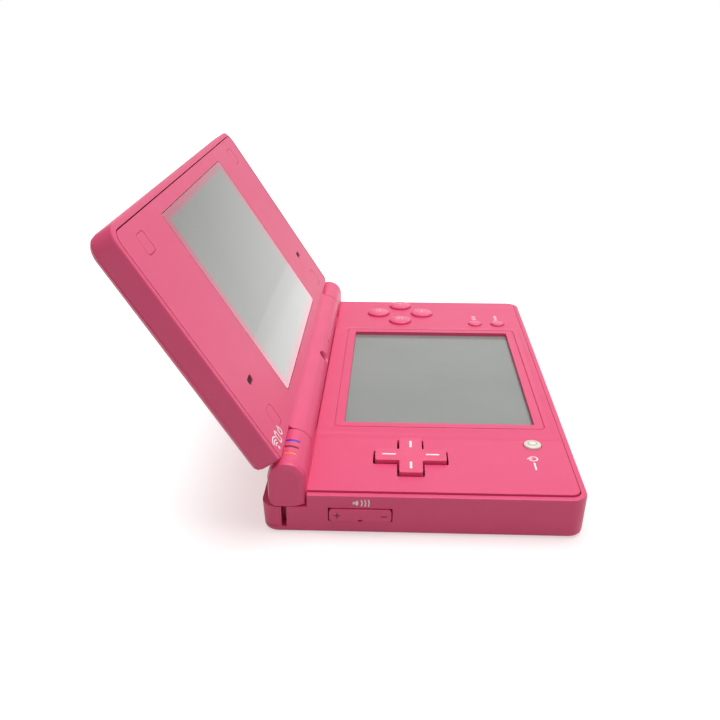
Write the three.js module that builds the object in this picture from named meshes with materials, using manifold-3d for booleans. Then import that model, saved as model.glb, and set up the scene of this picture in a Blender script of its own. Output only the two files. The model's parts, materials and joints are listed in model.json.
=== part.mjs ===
// A clamshell handheld game console standing open, in millimetres with +Z up.
// The origin is the middle of its flat underside. +Y points to the hinge and -X is the player's left.
import * as THREE from 'three';
import { mergeVertices } from 'three/addons/utils/BufferGeometryUtils.js';
import Module from 'manifold-3d';

const wasm = await Module();
wasm.setup();

// Driving sizes of the whole console
const consoleWidth = 137;
const consoleDepth = 74.9;
const plateauHeight = 11.5;
const closedGap = 0.5;
const lidThickness = 6.9;
const closedHeight = plateauHeight + closedGap + lidThickness;
const planCorner = 4;
const leastCorner = 0.3;
const openAngleDegrees = 122.4;

const rightEdge = consoleWidth / 2;
const backEdge = consoleDepth / 2;
const frontEdge = -backEdge;

// Clearances that several pieces share
const runningGap = 0.3;
const seatGap = 0.1;
const seamGap = 0.15;
const snugGap = 0.05;
const overrun = 2;

// Rounds: how many flats stand for a quarter turn and for a full one
const quarterSteps = 3;
const coarseSteps = 2;
const barrelSteps = 9;
const edgeSteps = 3;
const roundSides = 32;
const buttonSides = 20;
const stylusSides = 16;
const smallSides = 10;

// Hinge
const hingeSetback = 6.25;
const hingeRise = 2.25;
const hingeHeight = plateauHeight + hingeRise;
const barrelRadius = 4.45;
const knuckleLength = 17.3;
const knuckleShoulder = 1.7;
const knuckleRecess = 0.1;
const hingeY = backEdge - hingeSetback;
const knuckleOuter = rightEdge - knuckleRecess;
const knuckleInner = rightEdge - knuckleLength;
const barrelHalf = knuckleInner - runningGap;
const pinRadius = 1.8;
const pinReach = 9;
const pinGrip = 5;
const camRadius = 3.2;
const camLength = 12.4;

// Lower shell
const rimDrop = 1.3;
const rimHeight = plateauHeight - rimDrop;
const rimRound = 0.5;
const underRound = 1;
const sideDraft = 0.5;
const sideWall = 1.4;
const floorThickness = 1.2;
const wallFoot = sideWall + sideDraft;
const rimSeam = 0.3;

// Upper panel
const wingDrop = 0.9;
const wingHeight = plateauHeight - wingDrop;
const panelThickness = 1.1;
const controlZone = 32;
const plateauHalf = rightEdge - controlZone;
const slopeWidth = 4.4;
const frontSlope = 3.3;
const troughGap = 0.45;
const troughWall = 1.2;
const troughBack = rimHeight;
const panelInset = sideWall + rimSeam;
const wingUnder = wingHeight - panelThickness;
const plateauUnder = plateauHeight - panelThickness;

// Main board, held a control stack below the wings of the panel
const controlStack = 2.5;
const boardThickness = 0.6;
const boardTop = wingUnder - controlStack;
const boardUnder = boardTop - boardThickness;
const boardSideMargin = 4;
const boardFrontMargin = 2.6;
const boardBackMargin = 6;
const boardShoulderDepth = 7.6;
const boardCorner = 1;

// The back wall and the feet of the knuckles meet at the height of the board
const backRimHeight = boardTop;
const knuckleUnder = backRimHeight + seamGap;

// Touch screen and its window
const windowBorder = 2.95;
const windowFront = 7.8;
const windowBack = 17.5;
const windowCorner = 0.6;
const windowWidth = 2 * (plateauHalf - windowBorder);
const windowDepth = consoleDepth - windowFront - windowBack;
const windowY = (windowFront - windowBack) / 2;
const grooveOffset = 2.3;
const grooveWidth = 0.25;
const grooveDepth = 0.35;
const grooveCorner = 1.2;
const touchMargin = 1.2;
const touchThickness = 1;
const touchTop = plateauUnder;

// Lower display, between the board and the touch screen
const displayMargin = 2.4;
const displayCorner = 1;

// Controls on the upper panel: shared stack
const rubberThickness = 0.45;
const domeHeight = 1.15;
const domeTop = boardTop + domeHeight;
const domeFoot = 1.6;
const domeCrown = 1;
const buttonTravelGap = 0.6;
const buttonFlangeLow = domeTop + buttonTravelGap;
const buttonFlangeThickness = 0.4;
const buttonFlangeWidth = 0.6;
const buttonGap = 0.2;
const buttonEdge = 0.35;

// Direction pad
const padFromSide = 17.7;
const padAhead = 7.6;
const padArm = 8.7;
const padArmHalf = 2.85;
const padProud = 1;
const padTop = wingHeight + padProud;
const padEdge = 0.3;
const padCorner = 0.7;
const padDish = 0.45;
const padGap = 0.45;
const padFlangeRadius = 7;
const padTravelGap = 0.45;
const padFlangeLow = domeTop + padTravelGap;
const padFlangeThickness = 0.35;
const padPivotRadius = 1.4;
const padPivotRound = 0.3;
const padDomeReach = 5.4;
const padX = padFromSide - rightEdge;
const padY = windowY + padAhead;

// Face buttons
const faceFromSide = 14.2;
const faceAhead = 10;
const facePitch = 7.6;
const faceRadius = 3.7;
const faceProud = 1.1;
const faceTop = wingHeight + faceProud;
const faceCrown = 0.35;
const faceSheetRadius = 10.6;
const faceX = rightEdge - faceFromSide;
const faceY = windowY + faceAhead;

// Start and select buttons
const smallButtonRadius = 2.2;
const smallButtonProud = 0.7;
const smallButtonCrown = 0.17;
const smallButtonTop = wingHeight + smallButtonProud;
const smallButtonPitch = 7.6;
const startFromSide = 23.8;
const startFromFront = 9.4;
const smallSheetWidth = 6.4;
const smallSheetCorner = 2.1;
const startX = rightEdge - startFromSide;
const startY = frontEdge + startFromFront;
const selectY = startY + smallButtonPitch;

// Power button
const powerRadius = 2.2;
const powerProud = 0.7;
const powerTop = wingHeight + powerProud;
const powerFromSide = 25.3;
const powerFromFront = 9.6;
const powerSwitchWidth = 4.2;
const powerSwitchHeight = 0.7;
const powerPlungerRadius = 1;
const powerX = powerFromSide - rightEdge;
const powerY = frontEdge + powerFromFront;

// Volume rocker in the left wall
const rockerLength = 14.5;
const rockerHeight = 3.3;
const rockerFromBack = 23.05;
const rockerUp = 5.15;
const rockerCorner = 0.8;
const rockerProud = 0.25;
const rockerLip = 1.1;
const rockerLipRise = 0.55;
const rockerLipThickness = 0.6;
const rockerLipGap = 0.7;
const rockerY = backEdge - rockerFromBack;
const volumeSwitchWidth = 2.2;
const volumeSwitchLength = 5.6;
const volumeSwitchHeight = 3;

// Shoulder buttons that wrap the back corners
const shoulderLow = 1.6;
const shoulderThickness = 2.4;
const shoulderReach = 24.8;
const shoulderSide = 4.85;
const shoulderRelief = 1.2;
const shoulderPivotIn = 2.7;
const shoulderPivotDepth = 1.85;
const shoulderBoss = 1.8;
const shoulderPost = 0.8;
const shoulderPostGap = 0.15;
const bulkheadGap = 1.8;
const bulkheadThickness = 1;
const shoulderHigh = backRimHeight - seatGap;
const shoulderPivotX = rightEdge - shoulderReach + shoulderPivotIn;
const shoulderPivotY = backEdge - shoulderPivotDepth;
const bulkheadOuter = shoulderThickness + bulkheadGap;
const bulkheadInner = bulkheadOuter + bulkheadThickness;

// Game card slot in the back wall
const cardWidth = 33;
const cardPlay = 0.4;
const slotHeight = 4.2;
const slotCeiling = 0.45;
const slotLow = boardUnder - slotCeiling - slotHeight;
const slotDepth = 31;
const slotWall = 0.7;
const slotFloor = 0.45;
const contactCount = 9;
const contactWidth = 0.9;
const contactLength = 5;
const contactHeight = 0.2;
const slotOuterHalf = cardWidth / 2 + cardPlay + slotWall;

// Battery, its compartment and cover
const batteryToWall = 6.85;
const batteryToSlot = 5.55;
const batteryFront = 14.95;
const batteryBack = 25.95;
const batteryHeadroom = 0.7;
const batteryCorner = 1.5;
const batteryEdge = 0.25;
const batteryWidth = rightEdge - batteryToWall - slotOuterHalf - batteryToSlot;
const batteryDepth = consoleDepth - batteryFront - batteryBack;
const batteryGap = 0.3;
const compartmentWall = 1;
const coverThickness = 1.4;
const coverLedge = 3.1;
const ledgeThickness = 1.1;
const coverCorner = 2;
const coverBorder = 1.2;
const coverGripLength = 17.4;
const coverGripDepth = 0.5;
const coverScrewInset = 3.25;
const coverScrewSpread = batteryWidth - 2 * coverScrewInset;
const batteryHeight = boardUnder - coverThickness - batteryHeadroom;
const batteryX = batteryToWall + batteryWidth / 2 - rightEdge;
const batteryY = (batteryFront - batteryBack) / 2;
const coverWidth = batteryWidth + 2 * coverLedge;
const coverDepth = batteryDepth + 2 * coverLedge;
const coverScrewY = batteryY - batteryDepth / 2 - coverLedge / 2;

// Screws
const screwHead = 1.35;
const screwHeadHeight = 0.65;
const screwShaft = 0.65;
const screwGap = 0.12;
const screwSlot = 0.35;
const screwSlotDepth = 0.35;
const coverScrewLength = 2.4;
const caseScrewLength = 5.6;
const caseScrewSink = 0.6;
const casePadRadius = 3;
const casePadHeight = 3;
const bossRadius = 2;
const bossDepth = 5;
const frontBossFromFront = 6.4;
const rightBossFromFront = 12.4;
const backBossFromBack = 10.4;
const bossFromSide = 6.4;
const rightBossY = frontEdge + rightBossFromFront;
const backBossY = backEdge - backBossFromBack;

// Charging port in the back wall
const portWidth = 8.4;
const portDepth = 7.6;
const portHeight = 3.3;
const portWall = 0.5;
const portTongueWidth = 4.2;
const portTongueThickness = 0.8;
const portTongueSetback = 0.8;
const portCorner = 1;
const portX = (slotOuterHalf + rightEdge - shoulderReach) / 2;
const portZ = boardUnder - portHeight / 2;

// Memory card socket, its slot in the right wall and the cover flap
const memoryWidth = 24;
const memoryPlay = 0.3;
const memoryHeight = 2.2;
const memoryDepth = 25;
const memoryWall = 0.8;
const memoryDrop = 1.45;
const memoryZ = boardUnder - memoryDrop;
const memoryAhead = 1;
const memorySkin = 0.3;
const flapLength = 29;
const flapHeight = 4.7;
const flapThickness = 0.6;
const flapRecess = 0.9;
const flapEnd = 0.5;
const flapNail = 0.9;
const memoryY = (rightBossY + backBossY) / 2 - memoryAhead;
const flapX = rightEdge - flapRecess + seatGap + flapThickness / 2;
const flapPivotY = memoryY - flapLength / 2 + flapThickness / 2;
const memoryRight = rightEdge - wallFoot - seatGap;
const memoryLeft = memoryRight - memoryDepth - memoryWall;

// Audio jack in the front wall
const jackFromSide = 22.5;
const jackWidth = 6;
const jackDepth = 8;
const jackHeight = 4.8;
const jackBore = 1.75;
const jackBoreDepth = 6.6;
const jackCollar = 2.4;
const jackCollarGap = 0.2;
const jackDrop = 2.5;
const jackZ = boardUnder - jackDrop;
const jackX = jackFromSide - rightEdge;

// Stylus in the front right of the base
const stylusToJack = 19.3;
const stylusRadius = 2.2;
const stylusTip = 0.8;
const stylusTaper = 11;
const stylusGrip = 1.9;
const stylusGripStart = 1.1;
const stylusGripLength = 1.1;
const stylusHead = 0.5;
const stylusSink = 0.2;
const stylusFromFront = 5.75;
const stylusUp = 3.95;
const stylusGap = 0.25;
const ribThickness = 1.2;
const ribSpread = 32;
const ribWidth = 6;
const ribFromSide = 22;
const stylusY = frontEdge + stylusFromFront;
const stylusStart = jackX + jackWidth / 2 + stylusToJack;
const stylusLength = rightEdge - stylusSink - stylusStart;

// Wireless module under the board
const radioWidth = 17;
const radioDepth = 17;
const radioHeight = 1.8;
const radioToSocket = 3.2;
const radioFromFront = 22.5;
const radioX = memoryLeft - radioToSocket - radioWidth / 2;

// Light guides on the left knuckle
const lightWidth = 0.9;
const lightLength = 3.3;
const lightDepth = 1.5;
const lightPitch = 3;
const lightFromSide = 11.5;
const lightLean = 0.5;

// Lid
const lidClearance = 0.45;
const lidFrontSetback = 1.15;
const lidCorner = 4.8;
const lidLowCorner = 1.2;
const lidRound = 2.2;
const lidRim = 0.5;
const lidWall = 1.5;
const lidSkin = 1.2;
const lidPanelThickness = 1.6;
const lidFace = hingeHeight - plateauHeight - closedGap;
const lidBack = hingeHeight - closedHeight;
const lidStart = barrelRadius + lidClearance;
const lidEnd = hingeY - frontEdge - lidFrontSetback;
const lidLength = lidEnd - lidStart;
const lidMiddle = (lidStart + lidEnd) / 2;
const lidPanelInset = lidWall + rimSeam;
const lidPanelBack = lidFace - lidPanelThickness;
const lidFloor = lidBack + lidSkin;

// Neck between the lid and its hinge barrel
const neckBack = 3.6;
const neckLength = 7.6;
const neckFillet = 3;

// Upper lens and display
const lensBorder = 2.65;
const lensLow = 3.4;
const lensHigh = 5.6;
const lensThickness = 0.8;
const lensCorner = 1;
const lensLedge = 2.6;
const lensWidth = windowWidth + 2 * lensBorder;
const lensHeight = lidLength - lensLow - lensHigh;
const lensFromHinge = lidStart + lensLow + lensHeight / 2;
const upperDisplayTrim = 0.7;
const upperDisplayWidth = lensWidth - 2 * upperDisplayTrim;
const upperDisplayHeight = lensHeight - 2 * upperDisplayTrim;
const upperDisplayThickness = 2.2;

// Speakers
const speakerFromSide = 15;
const speakerRaise = 15.7;
const speakerHoleUp = lidStart + speakerRaise;
const speakerHoleWidth = 4;
const speakerHoleLength = 1.7;
const speakerHoleCorner = 0.8;
const speakerWidth = 12;
const speakerLength = 17;
const speakerThickness = 2.4;
const speakerRise = 4;
const speakerCorner = 5;
const speakerConeRadius = 4;
const speakerConeDepth = 0.8;
const speakerX = rightEdge - speakerFromSide;

// Screw covers in the corners of the inner panel
const padCoverSize = 5.2;
const padCoverCorner = 1;
const padCoverThickness = 0.5;
const padCoverGap = 0.12;
const padCoverFromSide = 13.4;
const padCoverFromLow = 5.5;
const padCoverFromHigh = 7.7;
const padCoverLow = lidStart + padCoverFromLow;
const padCoverHigh = lidEnd - padCoverFromHigh;

// Cameras and microphone
const outerCameraFromSide = 10.5;
const outerCameraFromLow = 6.3;
const outerCameraX = rightEdge - outerCameraFromSide;
const outerCameraUp = lidStart + outerCameraFromLow;
const outerWindowRadius = 3;
const outerWindowThickness = 0.8;
const outerCameraSize = 6;
const outerCameraHeight = 2.6;
const innerCameraRadius = 1.6;
const innerCameraDepth = 3.2;
const innerWindowThickness = 0.5;
const innerDishRadius = 2.5;
const innerDishDepth = 1.1;
const microphoneX = 13;
const microphoneRadius = 1.3;
const microphoneHole = 0.45;
const microphoneSink = 1.6;
const microphoneLength = 2;
const innerWindowTop = barrelRadius - innerDishDepth - seamGap;
const innerCameraHigh = innerWindowTop - innerWindowThickness - seamGap;
const innerCameraLow = innerCameraHigh - innerCameraDepth;
const microphoneLow = barrelRadius - microphoneSink - seamGap - microphoneLength;

const quarterTurn = Math.PI / 2;

// Finishes
function finish(color, roughness, metalness = 0) {
  return new THREE.MeshStandardMaterial({ color, roughness, metalness });
}

const shellFinish = finish(0xe0527f, 0.45);
const keyFinish = finish(0xe85a88, 0.25);
const powerFinish = finish(0xe9e2d2, 0.35);
const screenFinish = finish(0x9ea39d, 0.12);
const lensFinish = finish(0xc8cccb, 0.06);
const glassFinish = finish(0x1a1a1e, 0.08);
const innerFinish = finish(0x2d2d30, 0.6);
const boardFinish = finish(0x1f5a3a, 0.5);
const rubberFinish = finish(0x8f9296, 0.8);
const batteryFinish = finish(0x3a3c42, 0.5);
const stylusFinish = finish(0xf2d9e2, 0.35);
const steelFinish = finish(0xb8bcc2, 0.3, 1);
const blueFinish = finish(0x4a2cff, 0.2);
const greyFinish = finish(0x8c5568, 0.4);
const orangeFinish = finish(0xf08a4b, 0.3);

// Solids: a closed three.js geometry becomes a solid, and solids are joined and cut
function solidOf(geometry) {
  const bare = geometry.clone();
  bare.deleteAttribute('normal');
  bare.deleteAttribute('uv');
  const merged = mergeVertices(bare);
  return new wasm.Manifold(new wasm.Mesh({
    numProp: 3,
    vertProperties: merged.attributes.position.array,
    triVerts: new Uint32Array(merged.index.array),
  }));
}

function joined(...solids) {
  return solids.reduce((whole, next) => whole.add(next));
}

function cutFrom(solid, ...tools) {
  return tools.reduce((rest, tool) => rest.subtract(tool), solid);
}

// A box between two corners, given in any order
function box(from, to) {
  const size = from.map((value, axis) => Math.abs(to[axis] - value));
  const middle = from.map((value, axis) => (to[axis] + value) / 2);
  return solidOf(new THREE.BoxGeometry(...size).translate(...middle));
}

// Round rods along each axis
function rodZ(radius, x, y, low, high, sides = smallSides) {
  const rod = new THREE.CylinderGeometry(radius, radius, high - low, sides).rotateX(quarterTurn);
  return solidOf(rod.translate(x, y, (low + high) / 2));
}

function rodY(radius, x, z, front, back, sides = smallSides) {
  const rod = new THREE.CylinderGeometry(radius, radius, back - front, sides);
  return solidOf(rod.translate(x, (front + back) / 2, z));
}

function rodX(radius, y, z, left, right, sides = smallSides) {
  const rod = new THREE.CylinderGeometry(radius, radius, Math.abs(right - left), sides).rotateZ(quarterTurn);
  return solidOf(rod.translate((left + right) / 2, y, z));
}

// A solid of revolution about +Z from a profile of [radius, height] points that starts and ends on the axis
function turned(profile, sides) {
  const points = profile.map(([radius, height]) => new THREE.Vector2(radius, height));
  return solidOf(new THREE.LatheGeometry(points, sides).rotateX(quarterTurn));
}

// A rectangle with its own corner radius at the front and at the back
function roundedOutline(width, depth, frontRadius, backRadius = frontRadius) {
  const x = width / 2;
  const y = depth / 2;
  const shape = new THREE.Shape();
  shape.moveTo(frontRadius - x, -y);
  shape.lineTo(x - frontRadius, -y);
  shape.absarc(x - frontRadius, frontRadius - y, frontRadius, -quarterTurn, 0);
  shape.lineTo(x, y - backRadius);
  shape.absarc(x - backRadius, y - backRadius, backRadius, 0, quarterTurn);
  shape.lineTo(backRadius - x, y);
  shape.absarc(backRadius - x, y - backRadius, backRadius, quarterTurn, 2 * quarterTurn);
  shape.lineTo(-x, frontRadius - y);
  shape.absarc(frontRadius - x, frontRadius - y, frontRadius, 2 * quarterTurn, 3 * quarterTurn);
  return shape;
}

// A flat shape raised between two heights
function plate(shape, low, high, x = 0, y = 0, steps = quarterSteps) {
  const raised = new THREE.ExtrudeGeometry(shape, {
    depth: high - low,
    bevelEnabled: false,
    curveSegments: steps,
  });
  return solidOf(raised.translate(x, y, low));
}

// The same with a rounded edge all round at both ends
function softPlate(shape, low, high, edge, x = 0, y = 0, steps = quarterSteps) {
  const raised = new THREE.ExtrudeGeometry(shape, {
    depth: high - low - 2 * edge,
    bevelThickness: edge,
    bevelSize: edge,
    bevelOffset: -edge,
    bevelSegments: coarseSteps,
    curveSegments: steps,
  });
  return solidOf(raised.translate(x, y, low + edge));
}

// A shape drawn in Y and Z, run along X between two places, with an optional rounded end edge
function alongX(shape, left, right, edge = 0, steps = quarterSteps) {
  const run = new THREE.ExtrudeGeometry(shape, {
    depth: right - left - 2 * edge,
    bevelEnabled: edge > 0,
    bevelThickness: edge,
    bevelSize: edge,
    bevelOffset: -edge,
    bevelSegments: edgeSteps,
    curveSegments: steps,
  });
  const turn = new THREE.Matrix4().makeBasis(
    new THREE.Vector3(0, 1, 0),
    new THREE.Vector3(0, 0, 1),
    new THREE.Vector3(1, 0, 0),
  );
  return solidOf(run.applyMatrix4(turn).translate(left + edge, 0, 0));
}

// A shape drawn in X and Z, run along Y between two places
function alongY(shape, front, back, x = 0, z = 0, steps = quarterSteps) {
  const run = new THREE.ExtrudeGeometry(shape, {
    depth: back - front,
    bevelEnabled: false,
    curveSegments: steps,
  });
  return solidOf(run.rotateX(quarterTurn).translate(x, back, z));
}

// A body skinned over rounded outlines, each at [height, inset]
function loft(width, depth, frontRadius, backRadius, levels, y = 0) {
  const rings = levels.map(([, inset]) => {
    const front = Math.max(frontRadius - inset, leastCorner);
    const back = Math.max(backRadius - inset, leastCorner);
    return roundedOutline(width - 2 * inset, depth - 2 * inset, front, back).getPoints(quarterSteps);
  });
  const count = rings[0].length - 1;
  const positions = [];
  const faces = [];
  rings.forEach((ring, level) => {
    for (let i = 0; i < count; i += 1) {
      positions.push(ring[i].x, ring[i].y + y, levels[level][0]);
    }
  });
  const top = count * (rings.length - 1);
  for (let i = 0; i < count; i += 1) {
    const next = (i + 1) % count;
    for (let low = 0; low < top; low += count) {
      faces.push(low + i, low + next, low + count + next);
      faces.push(low + i, low + count + next, low + count + i);
    }
    if (i > 0 && next > 0) {
      faces.push(0, next, i);
      faces.push(top, top + i, top + next);
    }
  }
  const skin = new THREE.BufferGeometry();
  skin.setAttribute('position', new THREE.Float32BufferAttribute(positions, 3));
  skin.setIndex(faces);
  return solidOf(skin);
}

// Levels of a rounded lower edge, from its foot up to full width
function lowerRound(low, radius, extra) {
  return Array.from({ length: edgeSteps + 1 }, (_, i) => {
    const angle = (i / edgeSteps) * quarterTurn;
    return [low + radius * (1 - Math.cos(angle)), extra + radius * (1 - Math.sin(angle))];
  });
}

// Levels of a rounded upper edge, from full width to its top
function upperRound(high, radius) {
  return Array.from({ length: edgeSteps }, (_, i) => {
    const angle = (i / (edgeSteps - 1)) * quarterTurn;
    return [high - radius * (1 - Math.sin(angle)), radius * (1 - Math.cos(angle))];
  });
}

// The console's outline in plan, moved in from the edge
function planAt(inset, low, high) {
  const corner = Math.max(planCorner - inset, leastCorner);
  return plate(roundedOutline(consoleWidth - 2 * inset, consoleDepth - 2 * inset, corner), low, high);
}

// Where the case screws go: [x, y]
const bossPlaces = [
  [bossFromSide - rightEdge, frontEdge + frontBossFromFront],
  [rightEdge - bossFromSide, rightBossY],
  [bossFromSide - rightEdge, backBossY],
  [rightEdge - bossFromSide, backBossY],
];

// Where the battery cover's screws go
const coverScrewPlaces = [
  [batteryX - coverScrewSpread / 2, coverScrewY],
  [batteryX + coverScrewSpread / 2, coverScrewY],
];

// Outer form of the base: a drafted wall with a round foot and a softened rim
function outerForm() {
  return loft(consoleWidth, consoleDepth, planCorner, planCorner, [
    ...lowerRound(0, underRound, sideDraft),
    ...upperRound(rimHeight, rimRound),
  ]);
}

// Lower shell: an open tub
function shellTub() {
  const outer = outerForm();
  const innerCorner = planCorner - sideWall;
  const hollow = loft(consoleWidth - 2 * sideWall, consoleDepth - 2 * sideWall, innerCorner, innerCorner, [
    [floorThickness, sideDraft],
    [rimHeight, 0],
    [rimHeight + overrun, 0],
  ]);
  const aboveBackRim = box(
    [-rightEdge - overrun, hingeY - barrelRadius - seamGap, backRimHeight],
    [rightEdge + overrun, backEdge + overrun, rimHeight + overrun],
  );
  return cutFrom(outer, hollow, aboveBackRim);
}

// Battery compartment walls and the ledge that the cover rests on
function batteryBay() {
  const bayOuter = batteryGap + compartmentWall;
  const walls = plate(
    roundedOutline(batteryWidth + 2 * bayOuter, batteryDepth + 2 * bayOuter, batteryCorner + bayOuter),
    0,
    boardUnder,
    batteryX,
    batteryY,
  );
  const ledge = plate(
    roundedOutline(coverWidth + 2 * coverBorder, coverDepth + 2 * coverBorder, coverCorner + coverBorder),
    0,
    coverThickness + ledgeThickness,
    batteryX,
    batteryY,
  );
  return joined(walls, ledge);
}

function batteryBayCuts() {
  const recess = plate(
    roundedOutline(coverWidth + 2 * seamGap, coverDepth + 2 * seamGap, coverCorner + seamGap),
    -overrun,
    coverThickness,
    batteryX,
    batteryY,
  );
  const pocket = plate(
    roundedOutline(batteryWidth + 2 * batteryGap, batteryDepth + 2 * batteryGap, batteryCorner + batteryGap),
    -overrun,
    boardUnder + overrun,
    batteryX,
    batteryY,
  );
  const screwHoles = coverScrewPlaces.map(([x, y]) =>
    rodZ(screwShaft + screwGap, x, y, 0, coverThickness + ledgeThickness + overrun));
  return [recess, pocket, ...screwHoles];
}

// The well that a shoulder button moves in, the wall behind it and the post it turns on
function shoulderWell(side) {
  const inner = rightEdge - shoulderReach;
  return box(
    [side * (inner - runningGap), backEdge - shoulderSide - shoulderRelief, shoulderLow - seatGap],
    [side * (rightEdge + overrun), backEdge + overrun, backRimHeight + overrun],
  );
}

function shoulderBulkhead(side) {
  const ring = planAt(bulkheadOuter, 0, backRimHeight).subtract(planAt(bulkheadInner, -overrun, rimHeight));
  const inner = rightEdge - shoulderReach - runningGap;
  const front = backEdge - shoulderSide - shoulderRelief - bulkheadThickness;
  return joined(
    ring.intersect(box(
      [side * (inner - bulkheadThickness), front, floorThickness / 2],
      [side * rightEdge, backEdge, backRimHeight],
    )),
    box(
      [side * (rightEdge - sideWall), front, floorThickness / 2],
      [side * (rightEdge - bulkheadInner), front + bulkheadThickness, backRimHeight],
    ),
    box(
      [side * inner, backEdge - bulkheadInner, floorThickness / 2],
      [side * (inner - bulkheadThickness), backEdge - sideWall / 2, backRimHeight],
    ),
  );
}

function shoulderPostOf(side) {
  return rodZ(shoulderPost, side * shoulderPivotX, shoulderPivotY, floorThickness / 2, backRimHeight);
}

// Saddles that guide the stylus
function stylusRibs() {
  const tunnel = rodX(stylusRadius + stylusGap, stylusY, stylusUp, -rightEdge, rightEdge, buttonSides);
  return [0, 1].map((place) => {
    const x = rightEdge - ribFromSide - place * ribSpread;
    const rib = box(
      [x - ribThickness / 2, stylusY - ribWidth / 2, floorThickness / 2],
      [x + ribThickness / 2, stylusY + ribWidth / 2, stylusUp],
    );
    return rib.subtract(tunnel);
  });
}

// The window of the volume rocker in the left wall
function rockerWindow() {
  const half = rockerLength / 2 + seamGap;
  const high = rockerHeight / 2 + seamGap;
  return box(
    [-rightEdge - overrun, rockerY - half, rockerUp - high],
    [sideWall + overrun - rightEdge, rockerY + half, rockerUp + high],
  );
}

// Lower shell with every way through its walls and floor
function makeLowerShell() {
  const pads = bossPlaces.map(([x, y]) => rodZ(casePadRadius, x, y, 0, casePadHeight, buttonSides));
  const solidParts = joined(shellTub(), batteryBay(), ...pads, ...stylusRibs());
  const wells = [-1, 1].map(shoulderWell);
  const withWells = cutFrom(solidParts, ...wells);
  const bulkheads = [-1, 1].map(shoulderBulkhead);
  const posts = [-1, 1].map(shoulderPostOf);
  const whole = joined(withWells, ...bulkheads, ...posts);

  const screwSinks = bossPlaces.map(([x, y]) =>
    rodZ(screwHead + screwGap, x, y, -overrun, caseScrewSink + screwHeadHeight));
  const screwWays = bossPlaces.map(([x, y]) => rodZ(screwShaft + screwGap, x, y, 0, casePadHeight + overrun));

  const slotHalf = cardWidth / 2 + cardPlay;
  const cardMouth = box(
    [-slotHalf, backEdge - bulkheadInner, slotLow],
    [slotHalf, backEdge + overrun, slotLow + slotHeight],
  );

  const portHole = alongY(
    roundedOutline(portWidth + 2 * seamGap, portHeight + 2 * seamGap, portCorner + seamGap),
    backEdge - bulkheadInner,
    backEdge + overrun,
    portX,
    portZ,
  );
  const memoryHalf = memoryWidth / 2 + memoryPlay;
  const memoryMouth = box(
    [rightEdge - sideWall - overrun, memoryY - memoryHalf, memoryZ - memoryHeight / 2],
    [rightEdge + overrun, memoryY + memoryHalf, memoryZ + memoryHeight / 2],
  );
  const flapBed = box(
    [rightEdge - flapRecess, memoryY - flapLength / 2 - flapEnd, memoryZ - flapHeight / 2 - seamGap],
    [rightEdge + overrun, memoryY + flapLength / 2 + seamGap, memoryZ + flapHeight / 2 + seamGap],
  );
  const stylusHole = rodX(
    stylusRadius + stylusGap,
    stylusY,
    stylusUp,
    rightEdge - sideWall - overrun,
    rightEdge + overrun,
    buttonSides,
  );
  const jackHole = rodY(
    jackCollar + jackCollarGap,
    jackX,
    jackZ,
    frontEdge - overrun,
    frontEdge + sideWall + overrun,
    buttonSides,
  );
  return cutFrom(
    whole,
    ...batteryBayCuts(),
    ...screwSinks,
    ...screwWays,
    cardMouth,
    portHole,
    rockerWindow(),
    memoryMouth,
    flapBed,
    stylusHole,
    jackHole,
  );
}

// Upper panel: wings at the sides, a raised plateau round the screen, and the hinge knuckles at the back
function riseAcross(low, high) {
  const edge = rightEdge + overrun;
  const foot = plateauHalf + slopeWidth;
  const bend = slopeWidth / 2;
  const shape = new THREE.Shape();
  shape.moveTo(-edge, -overrun);
  shape.lineTo(edge, -overrun);
  shape.lineTo(edge, low);
  shape.lineTo(foot, low);
  shape.bezierCurveTo(foot - bend, low, plateauHalf + bend, high, plateauHalf, high);
  shape.lineTo(-plateauHalf, high);
  shape.bezierCurveTo(-plateauHalf - bend, high, bend - foot, low, -foot, low);
  shape.lineTo(-edge, low);
  return shape;
}

function riseFromFront(low, high) {
  const foot = frontEdge + panelInset;
  const bend = frontSlope / 2;
  const back = backEdge + overrun;
  const shape = new THREE.Shape();
  shape.moveTo(foot - overrun, -overrun);
  shape.lineTo(back, -overrun);
  shape.lineTo(back, high);
  shape.lineTo(foot + frontSlope, high);
  shape.bezierCurveTo(foot + bend, high, foot + bend, low, foot, low);
  shape.lineTo(foot - overrun, low);
  return shape;
}

// All that lies below the panel's top, or below its underside: the slopes meet in a ridge at each corner
function panelRise(low, high) {
  const across = alongY(riseAcross(low, high), frontEdge - overrun, backEdge + overrun);
  return across.intersect(alongX(riseFromFront(low, high), -rightEdge - overrun, rightEdge + overrun));
}

function knuckleSection(inset) {
  const corner = knuckleShoulder - inset;
  const low = knuckleUnder;
  const front = hingeY - barrelRadius + inset;
  const back = hingeY + barrelRadius - inset;
  const shape = new THREE.Shape();
  shape.moveTo(front, low);
  shape.lineTo(back - corner, low);
  shape.quadraticCurveTo(back, low, back, low + corner);
  shape.lineTo(back, hingeHeight);
  shape.absarc(hingeY, hingeHeight, barrelRadius - inset, 0, 2 * quarterTurn);
  return shape;
}

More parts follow.
